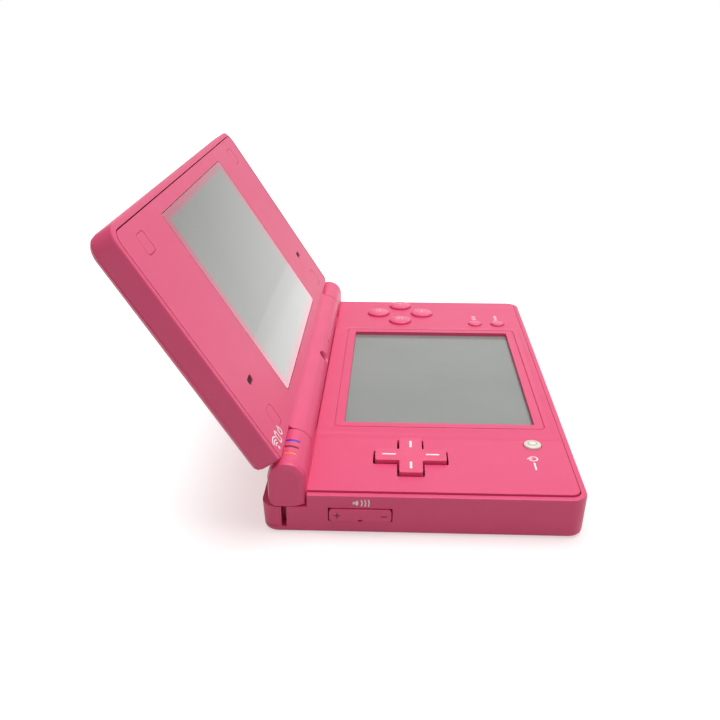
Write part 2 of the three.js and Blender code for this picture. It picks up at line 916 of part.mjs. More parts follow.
// The rounded outer end of a knuckle is a skin of shrinking outlines; its foot stays flat
function makeKnuckle(side) {
  const round = knuckleShoulder - seatGap;
  const stations = [[-overrun, 0], ...upperRound(knuckleLength - knuckleRecess, round)];
  const rings = stations.map(([, inset]) => knuckleSection(inset).getPoints(barrelSteps));
  const count = rings[0].length;
  const positions = [];
  const faces = [];
  rings.forEach((ring, station) => {
    ring.forEach((point) => {
      positions.push(side * (knuckleInner + stations[station][0]), point.x, point.y);
    });
  });
  const end = count * (rings.length - 1);
  const face = (a, b, c) => faces.push(...(side > 0 ? [a, b, c] : [a, c, b]));
  for (let i = 0; i < count; i += 1) {
    const next = (i + 1) % count;
    for (let near = 0; near < end; near += count) {
      face(near + i, near + next, near + count + next);
      face(near + i, near + count + next, near + count + i);
    }
    if (i > 0 && next > 0) {
      face(0, next, i);
      face(end, end + i, end + next);
    }
  }
  const skin = new THREE.BufferGeometry();
  skin.setAttribute('position', new THREE.Float32BufferAttribute(positions, 3));
  skin.setIndex(faces);
  const inside = box(
    [0, hingeY - 2 * barrelRadius, 0],
    [side * knuckleInner, hingeY + 2 * barrelRadius, closedHeight + overrun],
  );
  return solidOf(skin).subtract(inside);
}

function crossOutline(arm, half, corner) {
  const shape = new THREE.Shape();
  const ends = [0, 1, 2, 3].map((turn) => turn * quarterTurn);
  ends.forEach((angle, index) => {
    const ahead = new THREE.Vector2(Math.cos(angle), Math.sin(angle));
    const across = new THREE.Vector2(-ahead.y, ahead.x);
    const place = (out, over) => ahead.clone().multiplyScalar(out).addScaledVector(across, over);
    const start = place(half, -half);
    if (index === 0) shape.moveTo(start.x, start.y);
    const low = place(arm - corner, corner - half);
    const high = place(arm - corner, half - corner);
    const corners = [place(arm - corner, -half), place(arm, half - corner)];
    shape.lineTo(corners[0].x, corners[0].y);
    shape.absarc(low.x, low.y, corner, angle - quarterTurn, angle);
    shape.lineTo(corners[1].x, corners[1].y);
    shape.absarc(high.x, high.y, corner, angle, angle + quarterTurn);
    const close = place(half, half);
    shape.lineTo(close.x, close.y);
  });
  return shape;
}

function windowGroove() {
  const outer = grooveOffset + grooveWidth;
  const ring = plate(
    roundedOutline(windowWidth + 2 * outer, windowDepth + 2 * outer, grooveCorner + grooveWidth),
    plateauHeight - grooveDepth,
    plateauHeight + overrun,
    0,
    windowY,
  );
  const island = plate(
    roundedOutline(windowWidth + 2 * grooveOffset, windowDepth + 2 * grooveOffset, grooveCorner),
    0,
    plateauHeight + 2 * overrun,
    0,
    windowY,
  );
  return ring.subtract(island);
}

// Places of the four face buttons and the small ones: [x, y]
const facePlaces = [
  [faceX, faceY + facePitch],
  [faceX + facePitch, faceY],
  [faceX, faceY - facePitch],
  [faceX - facePitch, faceY],
];
const lightPlaces = [0, 1, 2].map((place) => lightFromSide - rightEdge - place * lightPitch);

function lightSlot(x, gap) {
  const high = hingeHeight + barrelRadius;
  return box(
    [x - lightWidth / 2 - gap, hingeY - lightLean - lightLength / 2 - gap, high - lightDepth - gap],
    [x + lightWidth / 2 + gap, hingeY - lightLean + lightLength / 2 + gap, high + overrun],
  );
}

// Bosses that hang from the panel and take the case screws
function panelBosses() {
  return bossPlaces.map(([x, y]) => {
    const boss = rodZ(bossRadius, x, y, casePadHeight + seatGap, wingUnder + seatGap, buttonSides);
    const pilot = rodZ(screwShaft + screwGap, x, y, 0, casePadHeight + seatGap + bossDepth);
    return boss.subtract(pilot);
  });
}

// Upper panel with its bosses, knuckles, windows and bores
function makeUpperPanel() {
  const back = backEdge - panelInset;
  const outline = plate(
    roundedOutline(consoleWidth - 2 * panelInset, consoleDepth - 2 * panelInset, planCorner - panelInset),
    0,
    closedHeight,
  );
  const skin = panelRise(wingHeight, plateauHeight)
    .subtract(panelRise(wingUnder, plateauUnder))
    .intersect(outline);
  const troughRadius = barrelRadius + troughGap;
  const trough = box(
    [-knuckleInner - overrun, hingeY - troughRadius - troughWall, knuckleUnder],
    [knuckleInner + overrun, back, wingHeight - seatGap],
  );
  const whole = joined(skin, trough, makeKnuckle(-1), makeKnuckle(1), ...panelBosses());
  const barrelWay = rodX(troughRadius, hingeY, hingeHeight, -knuckleInner, knuckleInner, roundSides);
  const behindBarrel = box(
    [-knuckleInner, hingeY, troughBack],
    [knuckleInner, backEdge + overrun, closedHeight],
  );
  const touchWindow = plate(
    roundedOutline(windowWidth, windowDepth, windowCorner),
    0,
    closedHeight,
    0,
    windowY,
  );
  const padWell = plate(
    crossOutline(padArm + padGap, padArmHalf + padGap, padGap),
    wingUnder - overrun,
    closedHeight,
    padX,
    padY,
    coarseSteps,
  );
  const faceHoles = facePlaces.map(([x, y]) =>
    rodZ(faceRadius + buttonGap, x, y, wingUnder - overrun, closedHeight, buttonSides));
  const smallPlaces = [
    [smallButtonRadius, startX, startY],
    [smallButtonRadius, startX, selectY],
    [powerRadius, powerX, powerY],
  ];
  const smallHoles = smallPlaces.map(([radius, x, y]) =>
    rodZ(radius + buttonGap, x, y, wingUnder - overrun, closedHeight, buttonSides));
  const pinBores = [-1, 1].map((side) => {
    const near = side * (knuckleInner - overrun);
    const far = side * (knuckleInner + pinReach + runningGap);
    return rodX(pinRadius + snugGap, hingeY, hingeHeight, near, far);
  });
  return cutFrom(
    whole,
    barrelWay,
    behindBarrel,
    touchWindow,
    windowGroove(),
    padWell,
    ...faceHoles,
    ...smallHoles,
    ...pinBores,
    ...lightPlaces.map((x) => lightSlot(x, 0)),
  );
}

// Touch screen, lower display and board
function makeTouchScreen() {
  const shape = roundedOutline(windowWidth + 2 * touchMargin, windowDepth + 2 * touchMargin, windowCorner);
  return plate(shape, touchTop - touchThickness, touchTop, 0, windowY);
}

function makeLowerDisplay() {
  const width = windowWidth + 2 * displayMargin;
  const depth = windowDepth + 2 * displayMargin;
  const low = boardTop;
  const high = touchTop - touchThickness;
  return plate(roundedOutline(width, depth, displayCorner), low, high, 0, windowY);
}

function makeMainBoard() {
  const half = rightEdge - boardSideMargin;
  const front = frontEdge + boardFrontMargin;
  const back = backEdge - boardBackMargin;
  const step = back - boardShoulderDepth;
  const waist = rightEdge - shoulderReach - boardSideMargin;
  const shape = new THREE.Shape();
  shape.moveTo(boardCorner - half, front);
  shape.lineTo(half - boardCorner, front);
  shape.absarc(half - boardCorner, front + boardCorner, boardCorner, -quarterTurn, 0);
  shape.lineTo(half, step);
  shape.lineTo(waist, step);
  shape.lineTo(waist, back);
  shape.lineTo(-waist, back);
  shape.lineTo(-waist, step);
  shape.lineTo(-half, step);
  shape.lineTo(-half, front + boardCorner);
  shape.absarc(boardCorner - half, front + boardCorner, boardCorner, 2 * quarterTurn, 3 * quarterTurn);
  const blank = plate(shape, boardUnder, boardTop, 0, 0, coarseSteps);
  const clearHoles = bossPlaces.map(([x, y]) =>
    rodZ(bossRadius + 2 * runningGap, x, y, boardUnder - overrun, boardTop + overrun, buttonSides));
  return cutFrom(blank, ...clearHoles);
}

// Battery and its cover
function makeBattery() {
  const low = coverThickness;
  const shape = roundedOutline(batteryWidth, batteryDepth, batteryCorner);
  return softPlate(shape, low, low + batteryHeight, batteryEdge, batteryX, batteryY, coarseSteps);
}

function makeBatteryCover() {
  const shape = roundedOutline(coverWidth, coverDepth, coverCorner);
  const cover = plate(shape, 0, coverThickness, batteryX, batteryY);
  const sinks = coverScrewPlaces.map(([x, y]) =>
    rodZ(screwHead + screwGap, x, y, -overrun, screwHeadHeight + seatGap));
  const ways = coverScrewPlaces.map(([x, y]) =>
    rodZ(screwShaft + screwGap, x, y, 0, coverThickness + overrun));
  const grip = box(
    [batteryX - coverGripLength / 2, batteryY + coverDepth / 2 - coverGripDepth, -overrun],
    [batteryX + coverGripLength / 2, batteryY + coverDepth / 2 + overrun, coverGripDepth],
  );
  return cutFrom(cover, ...sinks, ...ways, grip);
}

// A countersunk case screw standing head down, with a cross slot
function makeScrew(length) {
  const body = turned([
    [0, 0],
    [screwHead - screwSlotDepth, 0],
    [screwHead, screwSlotDepth],
    [screwHead, screwHeadHeight],
    [screwShaft, screwHeadHeight],
    [screwShaft, length - screwShaft],
    [0, length],
  ], smallSides);
  const half = screwSlot / 2;
  const reach = screwHead - 2 * screwSlotDepth;
  return cutFrom(
    body,
    box([-reach, -half, -overrun], [reach, half, screwSlotDepth]),
    box([-half, -reach, -overrun], [half, reach, screwSlotDepth]),
  );
}

// Rubber sheets with the domes that press on the board's contacts
function makeRubberSheet(shape, domes) {
  const low = boardTop;
  const sheet = plate(shape, low, low + rubberThickness);
  const made = domes.map(([x, y]) => {
    const dome = new THREE.CylinderGeometry(domeCrown, domeFoot, domeTop - low, smallSides);
    return solidOf(dome.rotateX(quarterTurn).translate(x, y, (domeTop + low) / 2));
  });
  return joined(sheet, ...made);
}

function circleOutline(radius) {
  const shape = new THREE.Shape();
  shape.absarc(0, 0, radius, 0, 4 * quarterTurn);
  return shape;
}

// Direction pad: a dished cross on a round flange that stays below the panel
function makePad() {
  const flange = rodZ(padFlangeRadius, 0, 0, padFlangeLow, padFlangeLow + padFlangeThickness, buttonSides);
  const shape = crossOutline(padArm, padArmHalf, padCorner);
  const crossLow = padFlangeLow + padFlangeThickness / 2;
  const cross = softPlate(shape, crossLow, padTop, padEdge, 0, 0, coarseSteps);
  const bowl = Array.from({ length: coarseSteps + 1 }, (_, i) => {
    const share = i / coarseSteps;
    return [share * padArm, padTop - padDish * (1 - share * share)];
  });
  const dish = turned([
    ...bowl,
    [padArm + overrun, padTop],
    [padArm + overrun, padTop + overrun],
    [0, padTop + overrun],
  ], buttonSides);
  return joined(flange, cross.subtract(dish));
}

// The button that the direction pad rocks on
function makePadPivot() {
  const low = boardTop + rubberThickness + seatGap;
  return turned([
    [0, low],
    [padPivotRadius - padPivotRound, low],
    [padPivotRadius, low + padPivotRound],
    [padPivotRadius, padFlangeLow - seatGap],
    [0, padFlangeLow - seatGap],
  ], smallSides);
}

// A round button: flange below the panel, straight wall, softened edge and a slightly domed top
function makeRoundButton(radius, top, crown) {
  return turned([
    [0, buttonFlangeLow],
    [radius + buttonFlangeWidth, buttonFlangeLow],
    [radius + buttonFlangeWidth, buttonFlangeLow + buttonFlangeThickness],
    [radius, buttonFlangeLow + buttonFlangeThickness],
    [radius, top - crown - buttonEdge],
    [radius - buttonEdge, top - crown],
    [radius / 2, top - crown / 4],
    [0, top],
  ], buttonSides);
}

function makePowerSwitch() {
  const half = powerSwitchWidth / 2;
  const low = boardTop;
  const body = box([-half, -half, low], [half, half, low + powerSwitchHeight]);
  return joined(body, rodZ(powerPlungerRadius, 0, 0, low, domeTop));
}

// Volume rocker: a bar in the left wall with a wider lip behind it
function makeRocker() {
  const face = -rightEdge - rockerProud;
  const lipOut = sideWall - rightEdge + rockerLipGap;
  const outline = roundedOutline(rockerLength, rockerHeight, rockerCorner);
  const bar = alongX(outline, 0, lipOut + rockerLipThickness / 2 - face);
  const lip = box(
    [lipOut - face, -rockerLength / 2 - rockerLip, -rockerHeight / 2 - rockerLipRise],
    [lipOut - face + rockerLipThickness, rockerLength / 2 + rockerLip, rockerHeight / 2 + rockerLipRise],
  );
  return joined(bar, lip);
}

function makeVolumeSwitch() {
  const left = sideWall - rightEdge + rockerLipGap + rockerLipThickness + runningGap;
  const high = boardUnder;
  return box(
    [left, rockerY - volumeSwitchLength / 2, high - volumeSwitchHeight],
    [left + volumeSwitchWidth, rockerY + volumeSwitchLength / 2, high],
  );
}

// Shoulder button: it follows the back corner and turns on a post at its inner end
function makeShoulderButton(side) {
  const ring = outerForm().subtract(planAt(shoulderThickness, -overrun, closedHeight));
  const cap = ring.intersect(box(
    [side * (rightEdge - shoulderReach), backEdge - shoulderSide, shoulderLow],
    [side * (rightEdge + overrun), backEdge + overrun, shoulderHigh],
  ));
  const x = side * shoulderPivotX;
  const boss = rodZ(shoulderBoss, x, shoulderPivotY, shoulderLow, shoulderHigh, buttonSides);
  const bore = rodZ(shoulderPost + shoulderPostGap, x, shoulderPivotY, 0, rimHeight);
  return joined(cap, boss).subtract(bore);
}

// Game card slot: a thin-walled tray open at the back, with a comb of contacts at its far end
function makeCardSlot() {
  const half = cardWidth / 2 + cardPlay - seatGap;
  const back = backEdge - wallFoot - seatGap;
  const front = back - slotDepth;
  const housing = box(
    [-half - slotWall, front - slotWall, slotLow - slotFloor],
    [half + slotWall, back, boardUnder],
  );
  const hollow = box([-half, front, slotLow], [half, back + overrun, slotLow + slotHeight]);
  const pitch = (2 * half) / (contactCount + 1);
  const contacts = Array.from({ length: contactCount }, (_, i) => {
    const x = (i + 1) * pitch - half;
    return box(
      [x - contactWidth / 2, front - slotWall / 2, slotLow - slotFloor / 2],
      [x + contactWidth / 2, front + contactLength, slotLow + contactHeight],
    );
  });
  return joined(housing.subtract(hollow), ...contacts);
}

function makeChargingPort() {
  const back = backEdge - sideWall - seatGap;
  const front = back - portDepth;
  const outline = roundedOutline(portWidth, portHeight, portCorner);
  const shell = alongY(outline, front, back, portX, portZ, coarseSteps);
  const mouth = roundedOutline(portWidth - 2 * portWall, portHeight - 2 * portWall, portCorner - portWall);
  const hollow = alongY(mouth, front + portWall, back + overrun, portX, portZ, coarseSteps);
  const tongue = box(
    [portX - portTongueWidth / 2, front, portZ - portTongueThickness / 2],
    [portX + portTongueWidth / 2, back - portTongueSetback, portZ + portTongueThickness / 2],
  );
  return joined(shell.subtract(hollow), tongue);
}

function makeMemorySocket() {
  const half = memoryWidth / 2 + memoryPlay;
  const low = memoryZ - memoryHeight / 2;
  const high = memoryZ + memoryHeight / 2;
  const housing = box(
    [memoryLeft, memoryY - half - memoryWall, low - memorySkin],
    [memoryRight, memoryY + half + memoryWall, high + memorySkin],
  );
  const mouth = box(
    [memoryLeft + memoryWall, memoryY - half, low],
    [memoryRight + overrun, memoryY + half, high],
  );
  return housing.subtract(mouth);
}

// Cover flap of the memory card slot, hinged at its front end
function makeFlap() {
  const half = flapHeight / 2;
  const body = box(
    [flapX - flapThickness / 2, flapPivotY, memoryZ - half],
    [flapX + flapThickness / 2, memoryY + flapLength / 2, memoryZ + half],
  );
  const roll = rodZ(flapThickness / 2, flapX, flapPivotY, memoryZ - half, memoryZ + half);
  const nail = box(
    [flapX, memoryY + flapLength / 2 - flapNail, memoryZ - half / 2],
    [flapX + overrun, memoryY + flapLength / 2 + overrun, memoryZ + half / 2],
  );
  return joined(body, roll).subtract(nail);
}

// Stylus: a slim rod with a tapered tip and a finger groove behind its head, lying along X
function makeStylus() {
  const grip = stylusLength - stylusGripStart;
  return turned([
    [0, 0],
    [stylusTip / 2, 0],
    [stylusTip, stylusTip / 2],
    [stylusRadius, stylusTaper],
    [stylusRadius, grip - stylusGripLength - stylusHead],
    [stylusGrip, grip - stylusGripLength],
    [stylusGrip, grip],
    [stylusRadius, grip],
    [stylusRadius, stylusLength - stylusHead],
    [stylusRadius - stylusHead, stylusLength],
    [0, stylusLength],
  ], stylusSides);
}

function makeAudioJack() {
  const front = frontEdge + wallFoot + seatGap;
  const body = box(
    [jackX - jackWidth / 2, front, boardUnder - jackHeight],
    [jackX + jackWidth / 2, front + jackDepth, boardUnder],
  );
  const collar = rodY(jackCollar, jackX, jackZ, frontEdge + seatGap, front + seatGap, buttonSides);
  const bore = rodY(jackBore, jackX, jackZ, frontEdge - overrun, front + jackBoreDepth, buttonSides);
  return joined(body, collar).subtract(bore);
}

function makeRadio() {
  const y = frontEdge + radioFromFront;
  const high = boardUnder;
  return box(
    [radioX - radioWidth / 2, y - radioDepth / 2, high - radioHeight],
    [radioX + radioWidth / 2, y + radioDepth / 2, high],
  );
}

// A light guide is flush with the round of its knuckle
function makeLight(x) {
  const knuckle = rodX(barrelRadius, hingeY, hingeHeight, -knuckleOuter, -knuckleInner, roundSides);
  return lightSlot(x, -snugGap).intersect(knuckle);
}

// A hinge pin in a knuckle, reaching into the barrel
function makePin(side) {
  const inner = knuckleInner - pinGrip - runningGap;
  const outer = knuckleInner + pinReach;
  return rodX(pinRadius, hingeY, hingeHeight, side * inner, side * outer);
}

// Lid pieces are drawn in the lid's own frame: X across, Y up the lid from the hinge, Z to the player
function lidOutline(inset, low, high) {
  const front = Math.max(lidLowCorner - inset, leastCorner);
  const shape = roundedOutline(consoleWidth - 2 * inset, lidLength - 2 * inset, front, lidCorner - inset);
  return plate(shape, low, high, 0, lidMiddle);
}

function makeLidShell() {
  const skinLevels = [...lowerRound(lidBack, lidRound, 0), ...upperRound(lidFace, lidRim)];
  const outer = loft(consoleWidth, lidLength, lidLowCorner, lidCorner, skinLevels, lidMiddle);
  const hollow = lidOutline(lidWall, lidFloor, lidFace + overrun);
  const panelWay = box(
    [lidWall - rightEdge, 0, lidPanelBack],
    [rightEdge - lidWall, lidMiddle, lidFace + overrun],
  );
  const neckWay = box(
    [-barrelHalf - runningGap, 0, -neckBack - runningGap],
    [barrelHalf + runningGap, neckLength + runningGap, lidFace + overrun],
  );
  const wayRadius = outerWindowRadius + runningGap;
  const cameraWay = rodZ(wayRadius, outerCameraX, outerCameraUp, lidBack - overrun, 0, buttonSides);
  return cutFrom(outer, hollow, panelWay, neckWay, cameraWay);
}

function neckSection() {
  const centreZ = lidFace + neckFillet;
  const centreY = Math.sqrt((barrelRadius + neckFillet) ** 2 - centreZ ** 2);
  const meet = Math.atan2(centreZ, centreY);
  const backAngle = Math.asin(neckBack / barrelRadius);
  const shape = new THREE.Shape();
  shape.moveTo(neckLength, lidFace);
  shape.lineTo(centreY, lidFace);
  shape.absarc(centreY, centreZ, neckFillet, -quarterTurn, meet - 2 * quarterTurn, true);
  shape.absarc(0, 0, barrelRadius, meet, 4 * quarterTurn - backAngle);
  shape.lineTo(neckLength, -neckBack);
  return shape;
}

function padCoverPlaces() {
  const x = rightEdge - padCoverFromSide;
  return [[-x, padCoverLow], [x, padCoverLow], [-x, padCoverHigh], [x, padCoverHigh]];
}

function makeLidPanel() {
  const sheet = lidOutline(lidPanelInset, lidPanelBack, lidFace);
  const lowEnd = box(
    [lidPanelInset - rightEdge, lidStart, lidPanelBack],
    [rightEdge - lidPanelInset, lidStart + 2 * lidPanelInset, lidFace],
  );
  const neck = alongX(neckSection(), -barrelHalf, barrelHalf, 0, barrelSteps);
  const lensBed = plate(
    roundedOutline(lensWidth + 2 * seamGap, lensHeight + 2 * seamGap, lensCorner),
    lidFace - lensThickness - seamGap,
    lidFace + overrun,
    0,
    lensFromHinge,
  );
  const opening = plate(
    roundedOutline(lensWidth - 2 * lensLedge, lensHeight - 2 * lensLedge, lensCorner),
    lidPanelBack - overrun,
    lidFace + overrun,
    0,
    lensFromHinge,
  );
  const voices = [-1, 1].map((side) => plate(
    roundedOutline(speakerHoleWidth, speakerHoleLength, speakerHoleCorner),
    lidPanelBack - overrun,
    lidFace + overrun,
    side * speakerX,
    speakerHoleUp,
  ));
  const padBeds = padCoverPlaces().map(([x, y]) => plate(
    roundedOutline(padCoverSize + 2 * padCoverGap, padCoverSize + 2 * padCoverGap, padCoverCorner),
    lidFace - padCoverThickness - seamGap,
    lidFace + overrun,
    x,
    y,
    coarseSteps,
  ));
  const camBoreEnd = camLength + runningGap - barrelHalf;
  const camBore = rodX(camRadius + seamGap, 0, 0, -barrelHalf - overrun, camBoreEnd, buttonSides);
  const pinBore = rodX(pinRadius + runningGap, 0, 0, barrelHalf - pinGrip - runningGap, barrelHalf + overrun);
  const boreRadius = innerCameraRadius + seamGap;
  const cameraBore = rodZ(boreRadius, 0, 0, innerCameraLow - seamGap, barrelRadius + overrun, buttonSides);
  const dish = turned([
    [0, barrelRadius - innerDishDepth],
    [innerCameraRadius, barrelRadius - innerDishDepth],
    [innerDishRadius, barrelRadius],
    [innerDishRadius, barrelRadius + overrun],
    [0, barrelRadius + overrun],
  ], buttonSides);
  const soundHole = rodZ(microphoneHole, microphoneX, 0, 0, barrelRadius + overrun);
  const soundWell = rodZ(
    microphoneRadius + seamGap,
    microphoneX,
    0,
    microphoneLow - seamGap,
    barrelRadius - microphoneSink,
  );
  return cutFrom(
    joined(sheet, lowEnd, neck),
    lensBed,
    opening,
    ...voices,
    ...padBeds,
    camBore,
    pinBore,
    cameraBore,
    dish,
    soundHole,
    soundWell,
  );
}

// Click unit in the left end of the barrel: a drum with the bore that its pin turns in
function makeCamUnit() {
  const drum = rodX(camRadius, 0, 0, -barrelHalf, camLength - barrelHalf, buttonSides);
  const bore = rodX(pinRadius + seamGap, 0, 0, -barrelHalf - overrun, pinGrip + runningGap - barrelHalf);
  return drum.subtract(bore);
}

function makeSpeaker(side) {
  const shape = roundedOutline(speakerWidth, speakerLength, speakerCorner);
  const high = lidPanelBack - seamGap;
  const x = side * speakerX;
  const y = speakerHoleUp + speakerRise;
  const body = plate(shape, high - speakerThickness, high, x, y);
  const cone = rodZ(speakerConeRadius, x, y, high - speakerConeDepth, high + overrun, buttonSides);
  return body.subtract(cone);
}

// The scene: a fixed base, and the lid turned back about the hinge line
const group = new THREE.Group();
const base = new THREE.Group();
const lid = new THREE.Group();
lid.position.set(0, hingeY, hingeHeight);
lid.rotation.x = 2 * quarterTurn - THREE.MathUtils.degToRad(openAngleDegrees);
group.add(base, lid);

function addTo(parent, name, solid, material, x = 0, y = 0, z = 0) {
  const { numProp, vertProperties, triVerts } = solid.getMesh();
  const geometry = new THREE.BufferGeometry();
  geometry.setAttribute('position', new THREE.BufferAttribute(new Float32Array(vertProperties), numProp));
  geometry.setIndex(new THREE.BufferAttribute(new Uint32Array(triVerts), 1));
  geometry.computeVertexNormals();
  const mesh = new THREE.Mesh(geometry, material);
  mesh.name = name;
  mesh.position.set(x, y, z);
  parent.add(mesh);
  return mesh;
}

// Casing and boards of the base
addTo(base, 'lower_shell', makeLowerShell(), shellFinish);
addTo(base, 'upper_panel', makeUpperPanel(), shellFinish);
addTo(base, 'touch_screen', makeTouchScreen(), screenFinish);
addTo(base, 'lower_display', makeLowerDisplay(), innerFinish);
addTo(base, 'main_board', makeMainBoard(), boardFinish);
addTo(base, 'wireless_module', makeRadio(), steelFinish);
addTo(base, 'battery', makeBattery(), batteryFinish);
addTo(base, 'battery_cover', makeBatteryCover(), shellFinish);
coverScrewPlaces.forEach(([x, y], index) => {
  addTo(base, `cover_screw_${index + 1}`, makeScrew(coverScrewLength), steelFinish, x, y, seatGap);
});
bossPlaces.forEach(([x, y], index) => {
  addTo(base, `case_screw_${index + 1}`, makeScrew(caseScrewLength), steelFinish, x, y, caseScrewSink);
});

// Sockets and switches of the base
addTo(base, 'game_card_slot', makeCardSlot(), innerFinish);
addTo(base, 'memory_card_socket', makeMemorySocket(), steelFinish);
addTo(base, 'charging_port', makeChargingPort(), steelFinish);
addTo(base, 'audio_jack', makeAudioJack(), innerFinish);
addTo(base, 'volume_switch', makeVolumeSwitch(), innerFinish);
addTo(base, 'power_switch', makePowerSwitch(), innerFinish, powerX, powerY);

// Controls on the panel
const padDomes = [[padDomeReach, 0], [0, padDomeReach], [-padDomeReach, 0], [0, -padDomeReach]];
const padSheet = makeRubberSheet(circleOutline(padFlangeRadius), padDomes);
addTo(base, 'pad_rubber', padSheet, rubberFinish, padX, padY);
addTo(base, 'pad_pivot', makePadPivot(), rubberFinish, padX, padY);
addTo(base, 'direction_pad', makePad(), keyFinish, padX, padY);

const faceDomes = facePlaces.map(([x, y]) => [x - faceX, y - faceY]);
const faceSheet = makeRubberSheet(circleOutline(faceSheetRadius), faceDomes);
addTo(base, 'face_rubber', faceSheet, rubberFinish, faceX, faceY);
const faceNames = ['back', 'right', 'front', 'left'];
facePlaces.forEach(([x, y], index) => {
  const button = makeRoundButton(faceRadius, faceTop, faceCrown);
  addTo(base, `face_button_${faceNames[index]}`, button, keyFinish, x, y);
});

const smallMiddle = (startY + selectY) / 2;
const smallOutline = roundedOutline(smallSheetWidth, smallButtonPitch + smallSheetWidth, smallSheetCorner);
const smallDomes = [[0, smallButtonPitch / 2], [0, -smallButtonPitch / 2]];
const smallSheet = makeRubberSheet(smallOutline, smallDomes);
addTo(base, 'start_select_rubber', smallSheet, rubberFinish, startX, smallMiddle);
const smallButton = () => makeRoundButton(smallButtonRadius, smallButtonTop, smallButtonCrown);
addTo(base, 'start_button', smallButton(), keyFinish, startX, startY);
addTo(base, 'select_button', smallButton(), keyFinish, startX, selectY);
const powerButton = makeRoundButton(powerRadius, powerTop, smallButtonCrown);
addTo(base, 'power_button', powerButton, powerFinish, powerX, powerY);

addTo(base, 'volume_rocker', makeRocker(), keyFinish, -rightEdge - rockerProud, rockerY, rockerUp);
addTo(base, 'shoulder_button_left', makeShoulderButton(-1), keyFinish);
addTo(base, 'shoulder_button_right', makeShoulderButton(1), keyFinish);
addTo(base, 'memory_card_flap', makeFlap(), shellFinish);
const stylus = addTo(base, 'stylus', makeStylus(), stylusFinish, stylusStart, stylusY, stylusUp);
stylus.rotation.y = quarterTurn;

// Hinge pieces and light guides of the base
addTo(base, 'hinge_pin_left', makePin(-1), steelFinish);
addTo(base, 'hinge_pin_right', makePin(1), steelFinish);
const lightFinishes = [blueFinish, greyFinish, orangeFinish];
lightPlaces.forEach((x, index) => {
  addTo(base, `light_guide_${index + 1}`, makeLight(x), lightFinishes[index]);
});

// Lid
addTo(lid, 'lid_outer_shell', makeLidShell(), shellFinish);
addTo(lid, 'lid_inner_panel', makeLidPanel(), shellFinish);
const lensOutline = roundedOutline(lensWidth, lensHeight, lensCorner);
const lens = plate(lensOutline, lidFace - lensThickness, lidFace, 0, lensFromHinge);
addTo(lid, 'upper_lens', lens, lensFinish);
const upperDisplayHigh = lidPanelBack - seamGap;
const upperDisplay = box(
  [-upperDisplayWidth / 2, lensFromHinge - upperDisplayHeight / 2, upperDisplayHigh - upperDisplayThickness],
  [upperDisplayWidth / 2, lensFromHinge + upperDisplayHeight / 2, upperDisplayHigh],
);
addTo(lid, 'upper_display', upperDisplay, innerFinish);
addTo(lid, 'speaker_left', makeSpeaker(-1), innerFinish);
addTo(lid, 'speaker_right', makeSpeaker(1), innerFinish);
padCoverPlaces().forEach(([x, y], index) => {
  const shape = roundedOutline(padCoverSize, padCoverSize, padCoverCorner);
  const cover = plate(shape, lidFace - padCoverThickness, lidFace, 0, 0, coarseSteps);
  addTo(lid, `screw_cover_${index + 1}`, cover, shellFinish, x, y);
});

// Hinge unit, cameras and microphone of the lid
addTo(lid, 'hinge_click_unit', makeCamUnit(), steelFinish);
const outerWindowLow = lidBack + seamGap;
const outerWindowHigh = outerWindowLow + outerWindowThickness;
const outerWindow = rodZ(outerWindowRadius, 0, 0, outerWindowLow, outerWindowHigh, buttonSides);
addTo(lid, 'outer_camera_window', outerWindow, glassFinish, outerCameraX, outerCameraUp);
const outerCameraLow = lidFloor + seamGap;
const outerCamera = box(
  [-outerCameraSize / 2, -outerCameraSize / 2, outerCameraLow],
  [outerCameraSize / 2, outerCameraSize / 2, outerCameraLow + outerCameraHeight],
);
addTo(lid, 'outer_camera', outerCamera, innerFinish, outerCameraX, outerCameraUp);
const innerWindowLow = innerWindowTop - innerWindowThickness;
const innerWindow = rodZ(innerCameraRadius, 0, 0, innerWindowLow, innerWindowTop, buttonSides);
addTo(lid, 'inner_camera_window', innerWindow, glassFinish);
const innerCamera = rodZ(innerCameraRadius, 0, 0, innerCameraLow, innerCameraHigh);
addTo(lid, 'inner_camera', innerCamera, innerFinish);
const microphone = rodZ(microphoneRadius, microphoneX, 0, microphoneLow, microphoneLow + microphoneLength);
addTo(lid, 'microphone', microphone, innerFinish);

export default group;
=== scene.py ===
# %% [markdown]
# # A pocket console that opens like a book
# The object is a folding game console with a screen in each half, lying open on a table. Its
# outer form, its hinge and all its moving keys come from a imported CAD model, which is loaded here
# as a fixed frame. The lesson dresses that frame: edges are rounded the way a mould rounds them,
# the keys, lenses and small parts are modelled again with more care, and every surface gets a
# finish of its own.

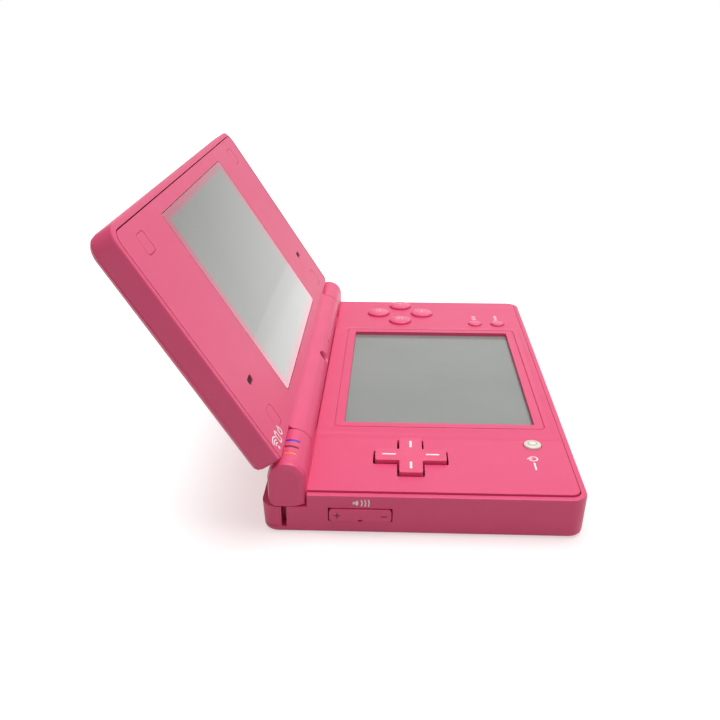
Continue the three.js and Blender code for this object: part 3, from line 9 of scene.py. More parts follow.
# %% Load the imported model
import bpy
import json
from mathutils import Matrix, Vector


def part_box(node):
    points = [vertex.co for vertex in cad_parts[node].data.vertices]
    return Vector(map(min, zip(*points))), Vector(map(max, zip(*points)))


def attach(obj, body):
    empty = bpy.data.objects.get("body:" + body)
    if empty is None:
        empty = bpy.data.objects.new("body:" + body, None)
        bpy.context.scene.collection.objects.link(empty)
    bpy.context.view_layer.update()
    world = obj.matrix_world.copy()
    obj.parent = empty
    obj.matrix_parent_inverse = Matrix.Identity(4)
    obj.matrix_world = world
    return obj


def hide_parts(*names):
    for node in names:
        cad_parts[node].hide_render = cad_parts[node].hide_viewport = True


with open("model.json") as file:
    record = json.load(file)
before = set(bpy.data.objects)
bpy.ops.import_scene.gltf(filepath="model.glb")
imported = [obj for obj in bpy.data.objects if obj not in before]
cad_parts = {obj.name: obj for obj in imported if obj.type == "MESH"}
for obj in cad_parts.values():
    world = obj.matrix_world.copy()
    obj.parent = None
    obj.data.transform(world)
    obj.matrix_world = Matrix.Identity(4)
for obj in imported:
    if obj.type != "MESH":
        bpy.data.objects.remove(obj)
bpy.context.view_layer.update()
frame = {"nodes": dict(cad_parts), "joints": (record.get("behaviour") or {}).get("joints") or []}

# %% [markdown]
# ## Units and the two frames of the object
# Everything is in metres, so small sizes are written as a number times MM. The base lies flat on
# the table. The lid leans back, so its pieces are easier to model flat, in a frame of their own:
# X runs across, Y up the lid from the hinge line, and Z towards the player. One matrix takes them
# to their place, and it is worked out from the hinge joint that the CAD model carries.

# %% Units, the hinge line and the lid's frame
import json
import math

import bmesh
import bpy
from mathutils import Matrix, Vector
from mathutils.bvhtree import BVHTree

MM = 0.001
hinge = next(joint for joint in frame["joints"] if joint["name"] == "lid_hinge")
hinge_line = Vector(hinge["pos_m"])
lid_tilt = math.pi + math.radians(hinge["range_deg"][0])
lid_frame = Matrix.Translation(hinge_line) @ Matrix.Rotation(lid_tilt, 4, "X")
print("lid leans", round(math.degrees(lid_tilt), 1), "degrees from flat")

# %% [markdown]
# ## The camera
# The photograph was taken from the player's left, a hand's width above the table. Its view was
# measured once from the corners of the base and the screens, and the camera simply stands in that
# place. The focal length is written in pixels of the square picture, as it was measured, and
# turned into the millimetres that Blender asks for.

# %% Camera
camera_place = Vector((-242.2, 7.3, 115.9)) * MM
camera_yaw = math.radians(2.336)
camera_pitch = math.radians(22.56)
camera_roll = math.radians(-0.08)
picture_side = 720
focal_pixels = 887.15
sensor_side = 36

camera_data = bpy.data.cameras.new("photograph view")
camera_data.sensor_width = sensor_side
camera_data.lens = focal_pixels * sensor_side / picture_side
camera_data.clip_start = 1 * MM
camera = bpy.data.objects.new("photograph view", camera_data)
camera.matrix_world = (
    Matrix.Translation(camera_place)
    @ Matrix.Rotation(camera_yaw - math.pi / 2, 4, "Z")
    @ Matrix.Rotation(math.pi / 2 - camera_pitch, 4, "X")
    @ Matrix.Rotation(camera_roll, 4, "Z")
)
bpy.context.collection.objects.link(camera)
bpy.context.scene.camera = camera
print("lens", round(camera_data.lens, 2), "mm")

# %% [markdown]
# ## Finishes are built from nodes
# Nothing is painted on a picture: each finish is a shader with a few nodes that work in real
# sizes. Three small helpers keep that short. One makes a shader and sets its plain values on its
# own sockets, one adds a node, and one joins two sockets. Patterns read Object coordinates, which
# are metres here, so a noise scale of 1000 means details of about a millimetre.

# %% Helpers for node materials
def colour(hex_code):
    """A written sRGB colour as the linear values that a shader needs."""
    channels = [int(hex_code[i:i + 2], 16) / 255 for i in (1, 3, 5)]
    linear = [c / 12.92 if c <= 0.04045 else ((c + 0.055) / 1.055) ** 2.4 for c in channels]
    return (*linear, 1)


def new_finish(name, **values):
    """A material with one Principled shader; a value is named as its socket, with _ for a space."""
    finish = bpy.data.materials.new(name)
    finish.use_nodes = True
    shader = finish.node_tree.nodes["Principled BSDF"]
    for socket, value in values.items():
        shader.inputs[socket.replace("_", " ")].default_value = value
    return finish, shader


def add_node(finish, kind, **settings):
    """A node of a kind; a setting is the value of a socket of its name, or else a property."""
    node = finish.node_tree.nodes.new("ShaderNode" + kind)
    for name, value in settings.items():
        socket = name.replace("_", " ")
        if socket in node.inputs:
            node.inputs[socket].default_value = value
        else:
            setattr(node, name, value)
    return node


def wire(finish, source, output, target, socket):
    finish.node_tree.links.new(source.outputs[output], target.inputs[socket])


def object_place(finish):
    """The point of the surface, in metres."""
    return add_node(finish, "TexCoord"), "Object"


# Most of a noise's values lie between these two.
cloud_low = 0.3
cloud_high = 0.7


def noise(finish, scale, detail=3):
    place, output = object_place(finish)
    made = add_node(finish, "TexNoise", Scale=scale, Detail=detail)
    wire(finish, place, output, made, "Vector")
    return made


def mottle(finish, shader, first, second, scale, spread=0.15):
    """The colour wanders softly between two near shades."""
    clouds = noise(finish, scale)
    ramp = add_node(finish, "ValToRGB")
    ramp.color_ramp.elements[0].position = 0.5 - spread
    ramp.color_ramp.elements[0].color = colour(first)
    ramp.color_ramp.elements[1].position = 0.5 + spread
    ramp.color_ramp.elements[1].color = colour(second)
    wire(finish, clouds, "Fac", ramp, "Fac")
    wire(finish, ramp, "Color", shader, "Base Color")
    return ramp


def uneven_gloss(finish, shader, low, high, scale):
    """Roughness between two values, as on a surface that hands have polished here and there."""
    clouds = noise(finish, scale, 4)
    spread = add_node(
        finish, "MapRange", From_Min=cloud_low, From_Max=cloud_high, To_Min=low, To_Max=high
    )
    wire(finish, clouds, "Fac", spread, "Value")
    wire(finish, spread, "Result", shader, "Roughness")


def grain(finish, shader, scale, height):
    """A fine bump all over; the height is in metres."""
    rough = noise(finish, scale, 2)
    bump = add_node(finish, "Bump", Strength=1.0, Distance=height)
    wire(finish, rough, "Fac", bump, "Height")
    wire(finish, bump, "Normal", shader, "Normal")


def make_finish(name, shades, gloss, bump=None, **values):
    """A whole finish: two shades with the scale of their clouds, the gloss, and perhaps a grain."""
    finish, shader = new_finish(name, **values)
    mottle(finish, shader, *shades)
    uneven_gloss(finish, shader, *gloss)
    if bump:
        grain(finish, shader, *bump)
    return finish


print("finishes read Object coordinates in metres")

# %% [markdown]
# ## The satin pink shell
# The housing is moulded in pink plastic with a satin skin: it has no sharp reflections, only a
# broad sheen, and a grain that shows close up. One way is a plain pink at a middling roughness,
# but that looks like a toy in a drawing. Here the pink wanders a little, the gloss is uneven
# where hands hold the case, and a bump of a few thousandths of a millimetre gives the grain.

# %% Shell finish
shell_finish = make_finish(
    "satin pink plastic",
    ("#E64E7B", "#E8507D", 90),
    (0.4, 0.43, 140),
    (5200, 0.004 * MM),
    Specular_IOR_Level=0.45,
    Coat_Weight=0.04,
    Coat_Roughness=0.35,
)
print(shell_finish.name, "has", len(shell_finish.node_tree.nodes), "nodes")

# %% [markdown]
# ## Rounding the edges of a CAD piece
# A CAD solid has edges as sharp as a knife, and no real moulding has them: a fine round on each
# edge catches a line of light and tells the eye that the thing is real. A bevel could be drawn in
# the CAD model, at the cost of thousands of faces. It is cheaper here. A copy of the node's mesh
# is merged, because it comes as loose triangles, flat neighbours are dissolved into one face, and
# a bevel that only looks at sharp edges rounds the rest.

# %% Helpers for meshes
large_face_weight = 90


def leave_edit_mode():
    if bpy.context.object and bpy.context.object.mode != "OBJECT":
        bpy.ops.object.mode_set(mode="OBJECT")


def select_only(*objects):
    leave_edit_mode()
    bpy.ops.object.select_all(action="DESELECT")
    for one in objects:
        one.select_set(True)
    bpy.context.view_layer.objects.active = objects[0]


def open_mesh(obj, element="FACE"):
    """Edit mode on one object, with nothing in it selected."""
    select_only(obj)
    bpy.ops.object.mode_set(mode="EDIT")
    bpy.ops.mesh.select_mode(type=element)
    bpy.ops.mesh.select_all(action="DESELECT")


def apply_modifiers(obj):
    select_only(obj)
    for modifier in list(obj.modifiers):
        bpy.ops.object.modifier_apply(modifier=modifier.name)


def smooth(obj, degrees=40):
    """Smooth shading that keeps creases, with flat faces kept truly flat."""
    select_only(obj)
    bpy.ops.object.shade_smooth_by_angle(angle=math.radians(degrees))
    flat = obj.modifiers.new("flat faces stay flat", "WEIGHTED_NORMAL")
    flat.keep_sharp = True
    flat.weight = large_face_weight
    apply_modifiers(obj)


def round_edges(obj, width, segments=2, degrees=30):
    bevel = obj.modifiers.new("round edges", "BEVEL")
    bevel.width = width
    bevel.segments = segments
    bevel.limit_method = "ANGLE"
    bevel.angle_limit = math.radians(degrees)
    apply_modifiers(obj)


def paint(obj, finish):
    obj.data.materials.clear()
    obj.data.materials.append(finish)


def finish_piece(obj, finish, body, slot, *nodes):
    """The last steps for a piece: its finish, its body and the nodes it stands for. The slot is not
    used.
    """
    paint(obj, finish)
    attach(obj, body)
    if nodes:
        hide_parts(*nodes)
    leave_edit_mode()
    print(obj.name, len(obj.data.polygons), "faces")


# %% Helpers for picking and moving parts of a mesh
def pick(obj, test, element="FACE"):
    """Select faces by middle and normal, edges by their two ends, or points by their place."""
    mesh = bmesh.from_edit_mesh(obj.data)
    for part in (*mesh.faces, *mesh.edges, *mesh.verts):
        part.select = False
    if element == "FACE":
        chosen = [face for face in mesh.faces if test(face.calc_center_median(), face.normal)]
    elif element == "EDGE":
        chosen = [edge for edge in mesh.edges if test(edge.verts[0].co, edge.verts[1].co)]
    else:
        chosen = [point for point in mesh.verts if test(point.co)]
    for part in chosen:
        part.select = True
    mesh.select_flush_mode()
    bmesh.update_edit_mesh(obj.data)
    return len(chosen)


def start_piece(name, add, **settings):
    """Add a primitive by its operator, name it and settle its place in its mesh."""
    leave_edit_mode()
    bpy.ops.object.select_all(action="DESELECT")
    add(**settings)
    obj = bpy.context.object
    obj.name = name
    obj.data.name = name
    bpy.ops.object.transform_apply(location=True, rotation=True, scale=True)
    return obj


def start_block(name, low, high):
    """A box between two corners."""
    middle = (Vector(low) + Vector(high)) / 2
    side = Vector(high) - Vector(low)
    return start_piece(name, bpy.ops.mesh.primitive_cube_add, size=1, location=middle, scale=side)


reading_slack = 0.02 * MM


def near(value, target, slack=0.01 * MM):
    return abs(value - target) < slack


# %% Copies of CAD pieces with rounded edges
same_point = 0.001 * MM
same_plane = math.radians(0.5)


def merged_copy(node, name):
    """A copy of a CAD node's mesh without loose triangles: flat neighbours are one face."""
    obj = bpy.data.objects.new(name, frame["nodes"][node].data.copy())
    bpy.context.collection.objects.link(obj)
    open_mesh(obj, "VERT")
    bpy.ops.mesh.select_all(action="SELECT")
    bpy.ops.mesh.remove_doubles(threshold=same_point)
    bpy.ops.mesh.dissolve_limited(angle_limit=same_plane)
    leave_edit_mode()
    return obj


def round_chosen(obj, test, width, segments):
    """Round only the edges that pass a test of their two ends."""
    open_mesh(obj, "EDGE")
    count = pick(obj, test, "EDGE")
    bpy.ops.mesh.bevel(offset=width, segments=segments, affect="EDGES", clamp_overlap=True)
    leave_edit_mode()
    print(obj.name, count, "edges rounded by", round(width / MM, 2), "mm")


def flatten_fan(obj, hub, corner):
    """Move the hub of a fan of faces to the corner where it belongs, and close the gap."""
    hub, corner = Vector(hub), Vector(corner)

    def at(point, target):
        return (point - target).length < reading_slack

    open_mesh(obj)
    mesh = bmesh.from_edit_mesh(obj.data)
    for face in mesh.faces:
        rim = [point.co for point in face.verts if not at(point.co, hub)]
        face.select = len(rim) < len(face.verts) and all(
            near(point.x, corner.x, reading_slack) for point in rim
        )
    bmesh.update_edit_mesh(obj.data)
    bpy.ops.mesh.split()
    mesh = bmesh.from_edit_mesh(obj.data)
    fan = [face for face in mesh.faces if face.select]
    hubs = {point for face in fan for point in face.verts if at(point.co, hub)}
    bpy.ops.mesh.select_mode(type="VERT")
    bpy.ops.mesh.select_all(action="DESELECT")
    for point in hubs:
        point.select = True
    bmesh.update_edit_mesh(obj.data)
    bpy.ops.transform.translate(value=corner - hub)
    bpy.ops.mesh.select_all(action="SELECT")
    bpy.ops.mesh.remove_doubles(threshold=same_point)
    bpy.ops.mesh.fill_holes(sides=4)
    open_mesh(obj, "VERT")
    joined = pick(obj, lambda point: at(point, hub) or at(point, corner), "VERT")
    bpy.ops.mesh.vert_connect()
    bpy.ops.mesh.select_all(action="SELECT")
    bpy.ops.mesh.dissolve_limited(angle_limit=same_plane)
    bpy.ops.mesh.normals_make_consistent(inside=False)
    leave_edit_mode()
    print(obj.name, "fan flattened,", joined, "points joined")


def rounded_copy(node, name, width, fans=(), wide_rounds=()):
    """A merged copy with its edges rounded, some of them wider than the rest."""
    obj = merged_copy(node, name)
    for hub, corner in fans:
        flatten_fan(obj, hub, corner)
    for test, wide, steps in wide_rounds:
        round_chosen(obj, test, wide, steps)
    round_edges(obj, width)
    smooth(obj)
    return obj


# %% [markdown]
# ## The casing
# Most edges of the casing get the same fine round. A few are softer on the real one: the caps of
# the knuckles, the ridges where the plateau falls to the wings, and the panel's own rim. Their
# edges are found by where they lie, and are bevelled before the rest. The flat end of each
# knuckle comes as a fan of triangles whose hub sits one outline too low, so the hub is moved up
# to the corner first.

# %% Where the casing's edges lie
case_round = 0.14 * MM
edge_slack = 0.06 * MM
corner_slack = 0.08 * MM
knuckle_side = 68.4 * MM
knuckle_front = 28.5 * MM
knuckle_face = 27.2186 * MM
knuckle_foot = 7.4 * MM
knuckle_low = 7.15 * MM
fan_hub = (67.9314 * MM, 27.2186 * MM, 13.75 * MM)
fan_corner = (knuckle_side, 28.35 * MM, 13.75 * MM)
slope_high = 36.5 * MM
slope_low = 40.9 * MM
slope_shortest = 4 * MM
wing_height = 10.6 * MM
panel_half = Vector((66.8, 35.75)) * MM
panel_corner = 2.3 * MM


def on_knuckle_end(first, second):
    """An edge round the flat end of a knuckle, but not along its foot."""
    return all(
        near(abs(point.x), knuckle_side, edge_slack)
        and 0 < point.y
        and (point.y < knuckle_front or point.z > knuckle_foot)
        for point in (first, second)
    )


def on_knuckle_foot(first, second):
    """The lowest front edges of a knuckle, across its end's slant and along its front."""
    return all(
        near(point.z, knuckle_low, reading_slack)
        and knuckle_face - reading_slack < point.y < knuckle_front
        and abs(point.x) > panel_half.x
        for point in (first, second)
    )


def along_slope(place):
    """A test for the long edges of the slope between plateau and wings."""
    def test(first, second):
        return (
            near(abs(first.x), place, edge_slack)
            and near(abs(second.x), place, edge_slack)
            and abs(first.y - second.y) > slope_shortest
        )
    return test


def on_panel_outline(point):
    """A point of the panel's outer top edge, straight or in a corner."""
    out_x = max(abs(point.x) - panel_half.x + panel_corner, 0)
    out_y = max(abs(point.y) - panel_half.y + panel_corner, 0)
    on_outline = near(math.hypot(out_x, out_y), panel_corner, corner_slack)
    return on_outline and near(point.z, wing_height, reading_slack)


def on_panel_rim(first, second):
    return on_panel_outline(first) and on_panel_outline(second)


# %% Casing with rounded edges
panel_edges = {
    "fans": [[(side * x, y, z) for x, y, z in (fan_hub, fan_corner)] for side in (-1, 1)],
    # Each row: the test that finds the edges, how wide their round is, and its steps.
    "wide_rounds": (
        (on_knuckle_foot, 0.7 * MM, 4),
        (on_knuckle_end, 1.1 * MM, 5),
        (along_slope(slope_low), 1.9 * MM, 4),
        (along_slope(slope_high), 0.3 * MM, 2),
        (on_panel_rim, 0.24 * MM, 3),
    ),
}
casing = {
    "lower_shell": "base",
    "upper_panel": "base",
    "lid_outer_shell": "lid",
    "lid_inner_panel": "lid",
    "shoulder_button_left": "shoulder_button_left",
    "shoulder_button_right": "shoulder_button_right",
    "battery_cover": "base",
    "memory_card_flap": "memory_card_flap",
}
for node, body in casing.items():
    special = panel_edges if node == "upper_panel" else {}
    rounded = rounded_copy(node, "moulded_" + node, case_round, **special)
    finish_piece(rounded, shell_finish, body, "shell", node)

# %% [markdown]
# ## Finishes of the keys and the small parts
# The keys are moulded in the same pink, but with a polished skin, so their tops carry a soft
# highlight, which the thumb has rubbed off the direction pad. The power key is a warm white.
# Print is a thin layer of ink, and what shows through the openings is dark plastic, plated steel,
# green board and grey rubber. Each one gets the grain or the unevenness that its making leaves,
# because a perfectly even surface never looks real.

# %% Finishes of the keys
key_finish = make_finish(
    "polished pink plastic",
    ("#EC5684", "#F05C89", 160),
    (0.26, 0.36, 500),
    (7000, 0.0015 * MM),
    Coat_Weight=0.3,
    Coat_Roughness=0.24,
)
pad_finish = make_finish(
    "worn pink plastic",
    ("#E94B79", "#ED507D", 160),
    (0.34, 0.44, 500),
    (7000, 0.0015 * MM),
    Coat_Weight=0.15,
    Coat_Roughness=0.3,
)
power_finish = make_finish(
    "cream plastic",
    ("#E9E2D4", "#F1EBDF", 700),
    (0.24, 0.34, 900),
    (9000, 0.001 * MM),
    Coat_Weight=0.3,
    Coat_Roughness=0.1,
)
pen_finish = make_finish(
    "pale pink plastic",
    ("#EFD3DD", "#F5DFE6", 400),
    (0.3, 0.42, 900),
    (6000, 0.002 * MM),
    Coat_Weight=0.15,
)
print("keys and stylus:", key_finish.name, pad_finish.name, power_finish.name, pen_finish.name)

# %% Inks, and a painted groove shade
print_finish = make_finish("white ink", ("#F2ECEE", "#FBF8F8", 3000), (0.5, 0.65, 4000))
faint_finish = make_finish("faded ink", ("#F2A9BF", "#F6BACB", 3000), (0.4, 0.55, 4000))
ring_finish = make_finish("grey green ink", ("#A9B5A8", "#B5C0B3", 3000), (0.4, 0.55, 4000))
# The dark pink of the rocker's plus and minus is painted shade: it stands for the shade in their
# grooves.
groove_shade_finish = make_finish("painted groove shade", ("#8E2546", "#9A2C4E", 2000), (0.5, 0.6, 3000))
print("inks:", print_finish.name, faint_finish.name, ring_finish.name, groove_shade_finish.name)

# %% Finishes of metal, glass and inner parts
dark_finish = make_finish(
    "dark inner plastic", ("#1C1C1F", "#262629", 900), (0.45, 0.62, 1500), (4000, 0.006 * MM)
)
steel_finish = make_finish(
    "plated steel",
    ("#A9ACB0", "#BDC0C4", 1200),
    (0.24, 0.4, 2500),
    (9000, 0.002 * MM),
    Metallic=1.0,
)
board_finish = make_finish(
    "green board",
    ("#175234", "#1F6642", 2200, 0.05),
    (0.3, 0.5, 2600),
    (3000, 0.01 * MM),
    Coat_Weight=0.4,
    Coat_Roughness=0.15,
)
rubber_finish = make_finish(
    "grey contact rubber", ("#86898D", "#94979B", 900), (0.7, 0.85, 1500), (6000, 0.006 * MM)
)
wrap_finish = make_finish(
    "battery wrap",
    ("#34363B", "#3F4147", 500),
    (0.35, 0.5, 700),
    (2500, 0.01 * MM),
    Coat_Weight=0.2,
)
glass_finish = make_finish(
    "black lens glass",
    ("#070709", "#0D0D11", 900),
    (0.05, 0.1, 2000),
    Specular_IOR_Level=0.3,
    Coat_Weight=0.15,
    Coat_Roughness=0.04,
)
print(len(bpy.data.materials), "materials so far")

# %% [markdown]
# ## The direction pad
# The pad is one cross-shaped key under the left thumb. Two crossed boxes would leave edges
# inside, so it starts as a single block, the middle of the cross, and its four sides are pulled
# out into arms. The arm ends get round corners while they are still simple edges. The top is then
# subdivided and pushed down in the middle with a proportional falloff, which makes the shallow
# dish that the thumb rests in. A bevel on what is still sharp comes last.

# %% Direction pad
pad_low, pad_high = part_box("direction_pad")
pad_middle = (pad_low + pad_high) / 2
pad_arm = (pad_high.x - pad_low.x) / 2
pad_half = 2.85 * MM
pad_dish = 0.45 * MM
pad_corner = 0.7 * MM
pad_edge = 0.26 * MM
pad_centre = 0.3 * MM
facing = 0.9

pad = start_block(
    "direction_key",
    (pad_middle.x - pad_half, pad_middle.y - pad_half, pad_low.z),
    (pad_middle.x + pad_half, pad_middle.y + pad_half, pad_high.z),
)
for side in (Vector((1, 0, 0)), Vector((0, 1, 0)), Vector((-1, 0, 0)), Vector((0, -1, 0))):
    open_mesh(pad)
    pick(
        pad,
        lambda middle, normal: normal.dot(side) > facing
        and near((middle - pad_middle).length, pad_half),
    )
    bpy.ops.mesh.extrude_region_move(TRANSFORM_OT_translate={"value": side * (pad_arm - pad_half)})


def at_arm_end(first, second):
    """A standing edge at one of the eight outer corners of the cross."""
    across = first - pad_middle
    standing = near(first.x, second.x) and near(first.y, second.y)
    return standing and max(abs(across.x), abs(across.y)) > pad_arm - pad_corner


open_mesh(pad, "EDGE")
pick(pad, at_arm_end, "EDGE")
bpy.ops.mesh.bevel(offset=pad_corner, segments=4, affect="EDGES")
open_mesh(pad)
pick(pad, lambda middle, normal: normal.z > facing)
bpy.ops.mesh.subdivide(number_cuts=6)
open_mesh(pad, "VERT")
pick(
    pad,
    lambda point: near(point.z, pad_high.z) and (point - pad_middle).xy.length < pad_centre,
    "VERT",
)
bpy.ops.transform.translate(
    value=(0, 0, -pad_dish),
    use_proportional_edit=True,
    proportional_edit_falloff="INVERSE_SQUARE",
    proportional_size=pad_arm,
    use_proportional_connected=True,
)
round_edges(pad, pad_edge, 3, 40)
smooth(pad, 40)
finish_piece(pad, pad_finish, "direction_pad", "key", "direction_pad")

# %% [markdown]
# ## The white dashes on the pad
# Each arm carries a short white dash set into its top. The four are one and the same inlay, so it
# is modelled once along the first arm, a bar with round ends, tipped by the slope of the dish
# where it lies, and then copied and turned about the middle of the pad.

# %% Inlaid dashes
dash_out = 5.3 * MM
dash_length = 3.3 * MM
dash_width = 0.58 * MM
dash_depth = 0.3 * MM
dash_proud = 0.035 * MM
dash_corner = 0.2 * MM
dash_edge = 0.03 * MM
above = Vector((0, 0, 40 * MM))
down = Vector((0, 0, -1))


def copy_piece(obj, name):
    """A copy with a mesh of its own."""
    twin = obj.copy()
    twin.data = obj.data.copy()
    twin.name = name
    bpy.context.collection.objects.link(twin)
    return twin


def surface_frame(obj, start, towards, up):
    """Where a ray meets a piece: Z out of the surface there, Y as near as can be to up."""
    points = [point.co for point in obj.data.vertices]
    faces = [face.vertices for face in obj.data.polygons]
    place, normal = BVHTree.FromPolygons(points, faces).ray_cast(start, towards)[:2]
    across = Vector(up).cross(normal).normalized()
    frame_here = Matrix((across, normal.cross(across), normal)).transposed().to_4x4()
    return Matrix.Translation(place) @ frame_here


def settle(obj, place):
    """Carry a piece made round the origin to its place, and leave the place in its mesh."""
    obj.matrix_world = place
    select_only(obj)
    bpy.ops.object.transform_apply(location=True, rotation=True, scale=True)


dash = start_block(
    "pad_dash_1",
    Vector((-dash_length / 2, -dash_width / 2, -dash_depth)),
    Vector((dash_length / 2, dash_width / 2, dash_proud)),
)
open_mesh(dash, "EDGE")
pick(dash, lambda first, second: near(first.x, second.x) and near(first.y, second.y), "EDGE")
bpy.ops.mesh.bevel(offset=dash_corner, segments=3, affect="EDGES")
round_edges(dash, dash_edge, 2, 40)
for number in range(4):
    twin = copy_piece(dash, f"pad_dash_{number + 1}")
    arm = Matrix.Rotation(number * math.pi / 2, 3, "Z") @ Vector((1, 0, 0))
    side = Matrix.Rotation(math.pi / 2, 3, "Z") @ arm
    settle(twin, surface_frame(pad, pad_middle + arm * dash_out + above, down, side))
    smooth(twin)
    finish_piece(twin, print_finish, "direction_pad", "power_key")
bpy.data.objects.remove(dash)

# %% [markdown]
# ## Round keys on a lathe
# The four face keys, the two small ones and the power key are all bodies of revolution: a flange
# that stays under the panel, a straight wall, a soft shoulder and a slightly domed top. A
# cylinder with a bevel would give a flat top, so the half section is drawn point by point and
# spun round the key's axis, as a potter or a lathe would make it.

# %% The lathe helper
lathe_steps = 48
key_flange = 0.6 * MM
key_flange_height = 0.4 * MM
shoulder = 0.4 * MM
# How far in from the wall and how far down from the dome's rim, in parts of the shoulder.
shoulder_points = ((0, 1), (0.12, 0.5), (0.45, 0.15), (1, 0))
# How far out from the axis in parts of the radius, and how far down in parts of the crown.
dome_points = ((0.72, 0.52), (0.45, 0.2), (0.2, 0.04), (0, 0))


def turn_profile(name, profile, centre):
    """Spin a half section, given as (radius, height) from bottom to top, about a standing axis."""
    points = [centre + Vector((radius, 0, height)) for radius, height in profile]
    obj = start_piece(name, bpy.ops.mesh.primitive_plane_add, size=MM, location=points[0])
    open_mesh(obj, "VERT")
    bpy.ops.mesh.select_all(action="SELECT")
    bpy.ops.mesh.merge(type="CENTER")
    for first, second in zip(points, points[1:]):
        bpy.ops.mesh.extrude_region_move(TRANSFORM_OT_translate={"value": second - first})
    bpy.ops.mesh.select_all(action="SELECT")
    bpy.ops.mesh.spin(steps=lathe_steps, angle=2 * math.pi, center=centre, axis=(0, 0, 1))
    bpy.ops.mesh.select_all(action="SELECT")
    bpy.ops.mesh.remove_doubles(threshold=same_point)
    bpy.ops.mesh.normals_make_consistent(inside=False)
    leave_edit_mode()
    return obj


def key_profile(radius, top, crown):
    """Flange, wall, a shoulder of three short flats and a dome."""
    return [
        (0, 0),
        (radius + key_flange, 0),
        (radius + key_flange, key_flange_height),
        (radius, key_flange_height),
        *(
            (radius - inset * shoulder, top - crown - fall * shoulder)
            for inset, fall in shoulder_points
        ),
        *((out * radius, top - fall * crown) for out, fall in dome_points),
    ]


# %% Face keys and small keys
large_crown = 0.35 * MM
small_crown = 0.17 * MM
round_keys = {
    **{
        "face_button_" + side: (key_finish, "key", large_crown)
        for side in ("back", "right", "front", "left")
    },
    "start_button": (key_finish, "key", small_crown),
    "select_button": (key_finish, "key", small_crown),
    "power_button": (power_finish, "power_key", small_crown),
}
for node, (finish, slot, crown) in round_keys.items():
    low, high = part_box(node)
    middle = (low + high) / 2
    radius = (high.x - low.x) / 2 - key_flange
    profile = key_profile(radius, high.z - low.z, crown)
    key = turn_profile("round_" + node, profile, Vector((middle.x, middle.y, low.z)))
    smooth(key, 50)
    finish_piece(key, finish, node, slot, node)

# %% [markdown]
# ## The volume rocker
# One bar in the left wall turns the sound up at its back end and down at its front end. It is a
# block with round corners and a soft edge, and a small nick in the lower edge that marks its
# middle. Its plus and minus are grooves on the real key; further on they are laid in as strips
# in a painted groove shade.

# %% Volume rocker
rocker_low, rocker_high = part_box("volume_rocker")
rocker_middle = (rocker_low + rocker_high) / 2
rocker_half = 7.17 * MM
rocker_rise = 1.56 * MM
rocker_corner = 0.8 * MM
nick_half = 0.4 * MM
nick_side = 0.75 * MM
nick_depth = 0.4 * MM
nick_reach = 0.05 * MM
rocker_sunk = 0.02 * MM
rocker_edge = 0.16 * MM
rocker_face = rocker_low.x + rocker_sunk

rocker = start_block(
    "volume_bar",
    (rocker_face, rocker_middle.y - rocker_half, rocker_middle.z - rocker_rise),
    (rocker_high.x, rocker_middle.y + rocker_half, rocker_middle.z + rocker_rise),
)
open_mesh(rocker, "EDGE")
pick(rocker, lambda first, second: near(first.y, second.y) and near(first.z, second.z), "EDGE")
bpy.ops.mesh.bevel(offset=rocker_corner, segments=4, affect="EDGES")
for cut in (-nick_side, -nick_half, nick_half, nick_side):
    bpy.ops.mesh.select_all(action="SELECT")
    bpy.ops.mesh.bisect(plane_co=rocker_middle + Vector((0, cut, 0)), plane_no=(0, 1, 0))
open_mesh(rocker, "EDGE")
pick(
    rocker,
    lambda first, second: near(first.x, rocker_face)
    and near(second.x, rocker_face)
    and near(first.z, rocker_middle.z - rocker_rise)
    and near((first.y + second.y) / 2, rocker_middle.y, nick_reach),
    "EDGE",
)
bpy.ops.transform.translate(value=(0, 0, nick_depth))
round_edges(rocker, rocker_edge, 3, 35)
smooth(rocker, 40)
finish_piece(rocker, shell_finish, "volume_rocker", "key", "volume_rocker")

# %% [markdown]
# ## Printed and sunken signs
# A maker prints small signs beside the keys to say what they do. The ones here are plain: a power
# ring, discs, bars and waves in white ink. Each sign is drawn flat around its own middle from
# bars, discs and rings, joined, given a hair of thickness, and then carried to its surface by one
# matrix.

# %% Helpers for flat signs
ink_height = 0.03 * MM
ink_sink = 0.05 * MM
arc_step = 12
fewest_steps = 4


def flat_bar(x, y, width, height):
    """A flat rectangle; its place and size are in mm."""
    bar = start_piece("bar", bpy.ops.mesh.primitive_plane_add, size=MM)
    open_mesh(bar)
    bpy.ops.mesh.select_all(action="SELECT")
    bpy.ops.transform.resize(value=(width, height, 1), center_override=(0, 0, 0))
    bpy.ops.transform.translate(value=(x * MM, y * MM, 0))
    leave_edit_mode()
    return bar


def flat_arc(x, y, inner, outer, start=0, sweep=360):
    """A flat ring or part of one, spun from a short edge; an inner radius of 0 makes a disc."""
    arc = start_piece("arc", bpy.ops.mesh.primitive_plane_add, size=MM)
    centre = Vector((x, y, 0)) * MM
    ray = Matrix.Rotation(math.radians(start), 3, "Z") @ Vector((MM, 0, 0))
    open_mesh(arc, "VERT")
    bpy.ops.mesh.select_all(action="SELECT")
    bpy.ops.mesh.merge(type="CENTER")
    bpy.ops.transform.translate(value=centre + ray * inner)
    bpy.ops.mesh.extrude_region_move(TRANSFORM_OT_translate={"value": ray * (outer - inner)})
    bpy.ops.mesh.select_all(action="SELECT")
    steps = max(fewest_steps, round(sweep / arc_step))
    bpy.ops.mesh.spin(steps=steps, angle=-math.radians(sweep), center=centre, axis=(0, 0, 1))
    bpy.ops.mesh.select_all(action="SELECT")
    bpy.ops.mesh.remove_doubles(threshold=same_point)
    leave_edit_mode()
    return arc


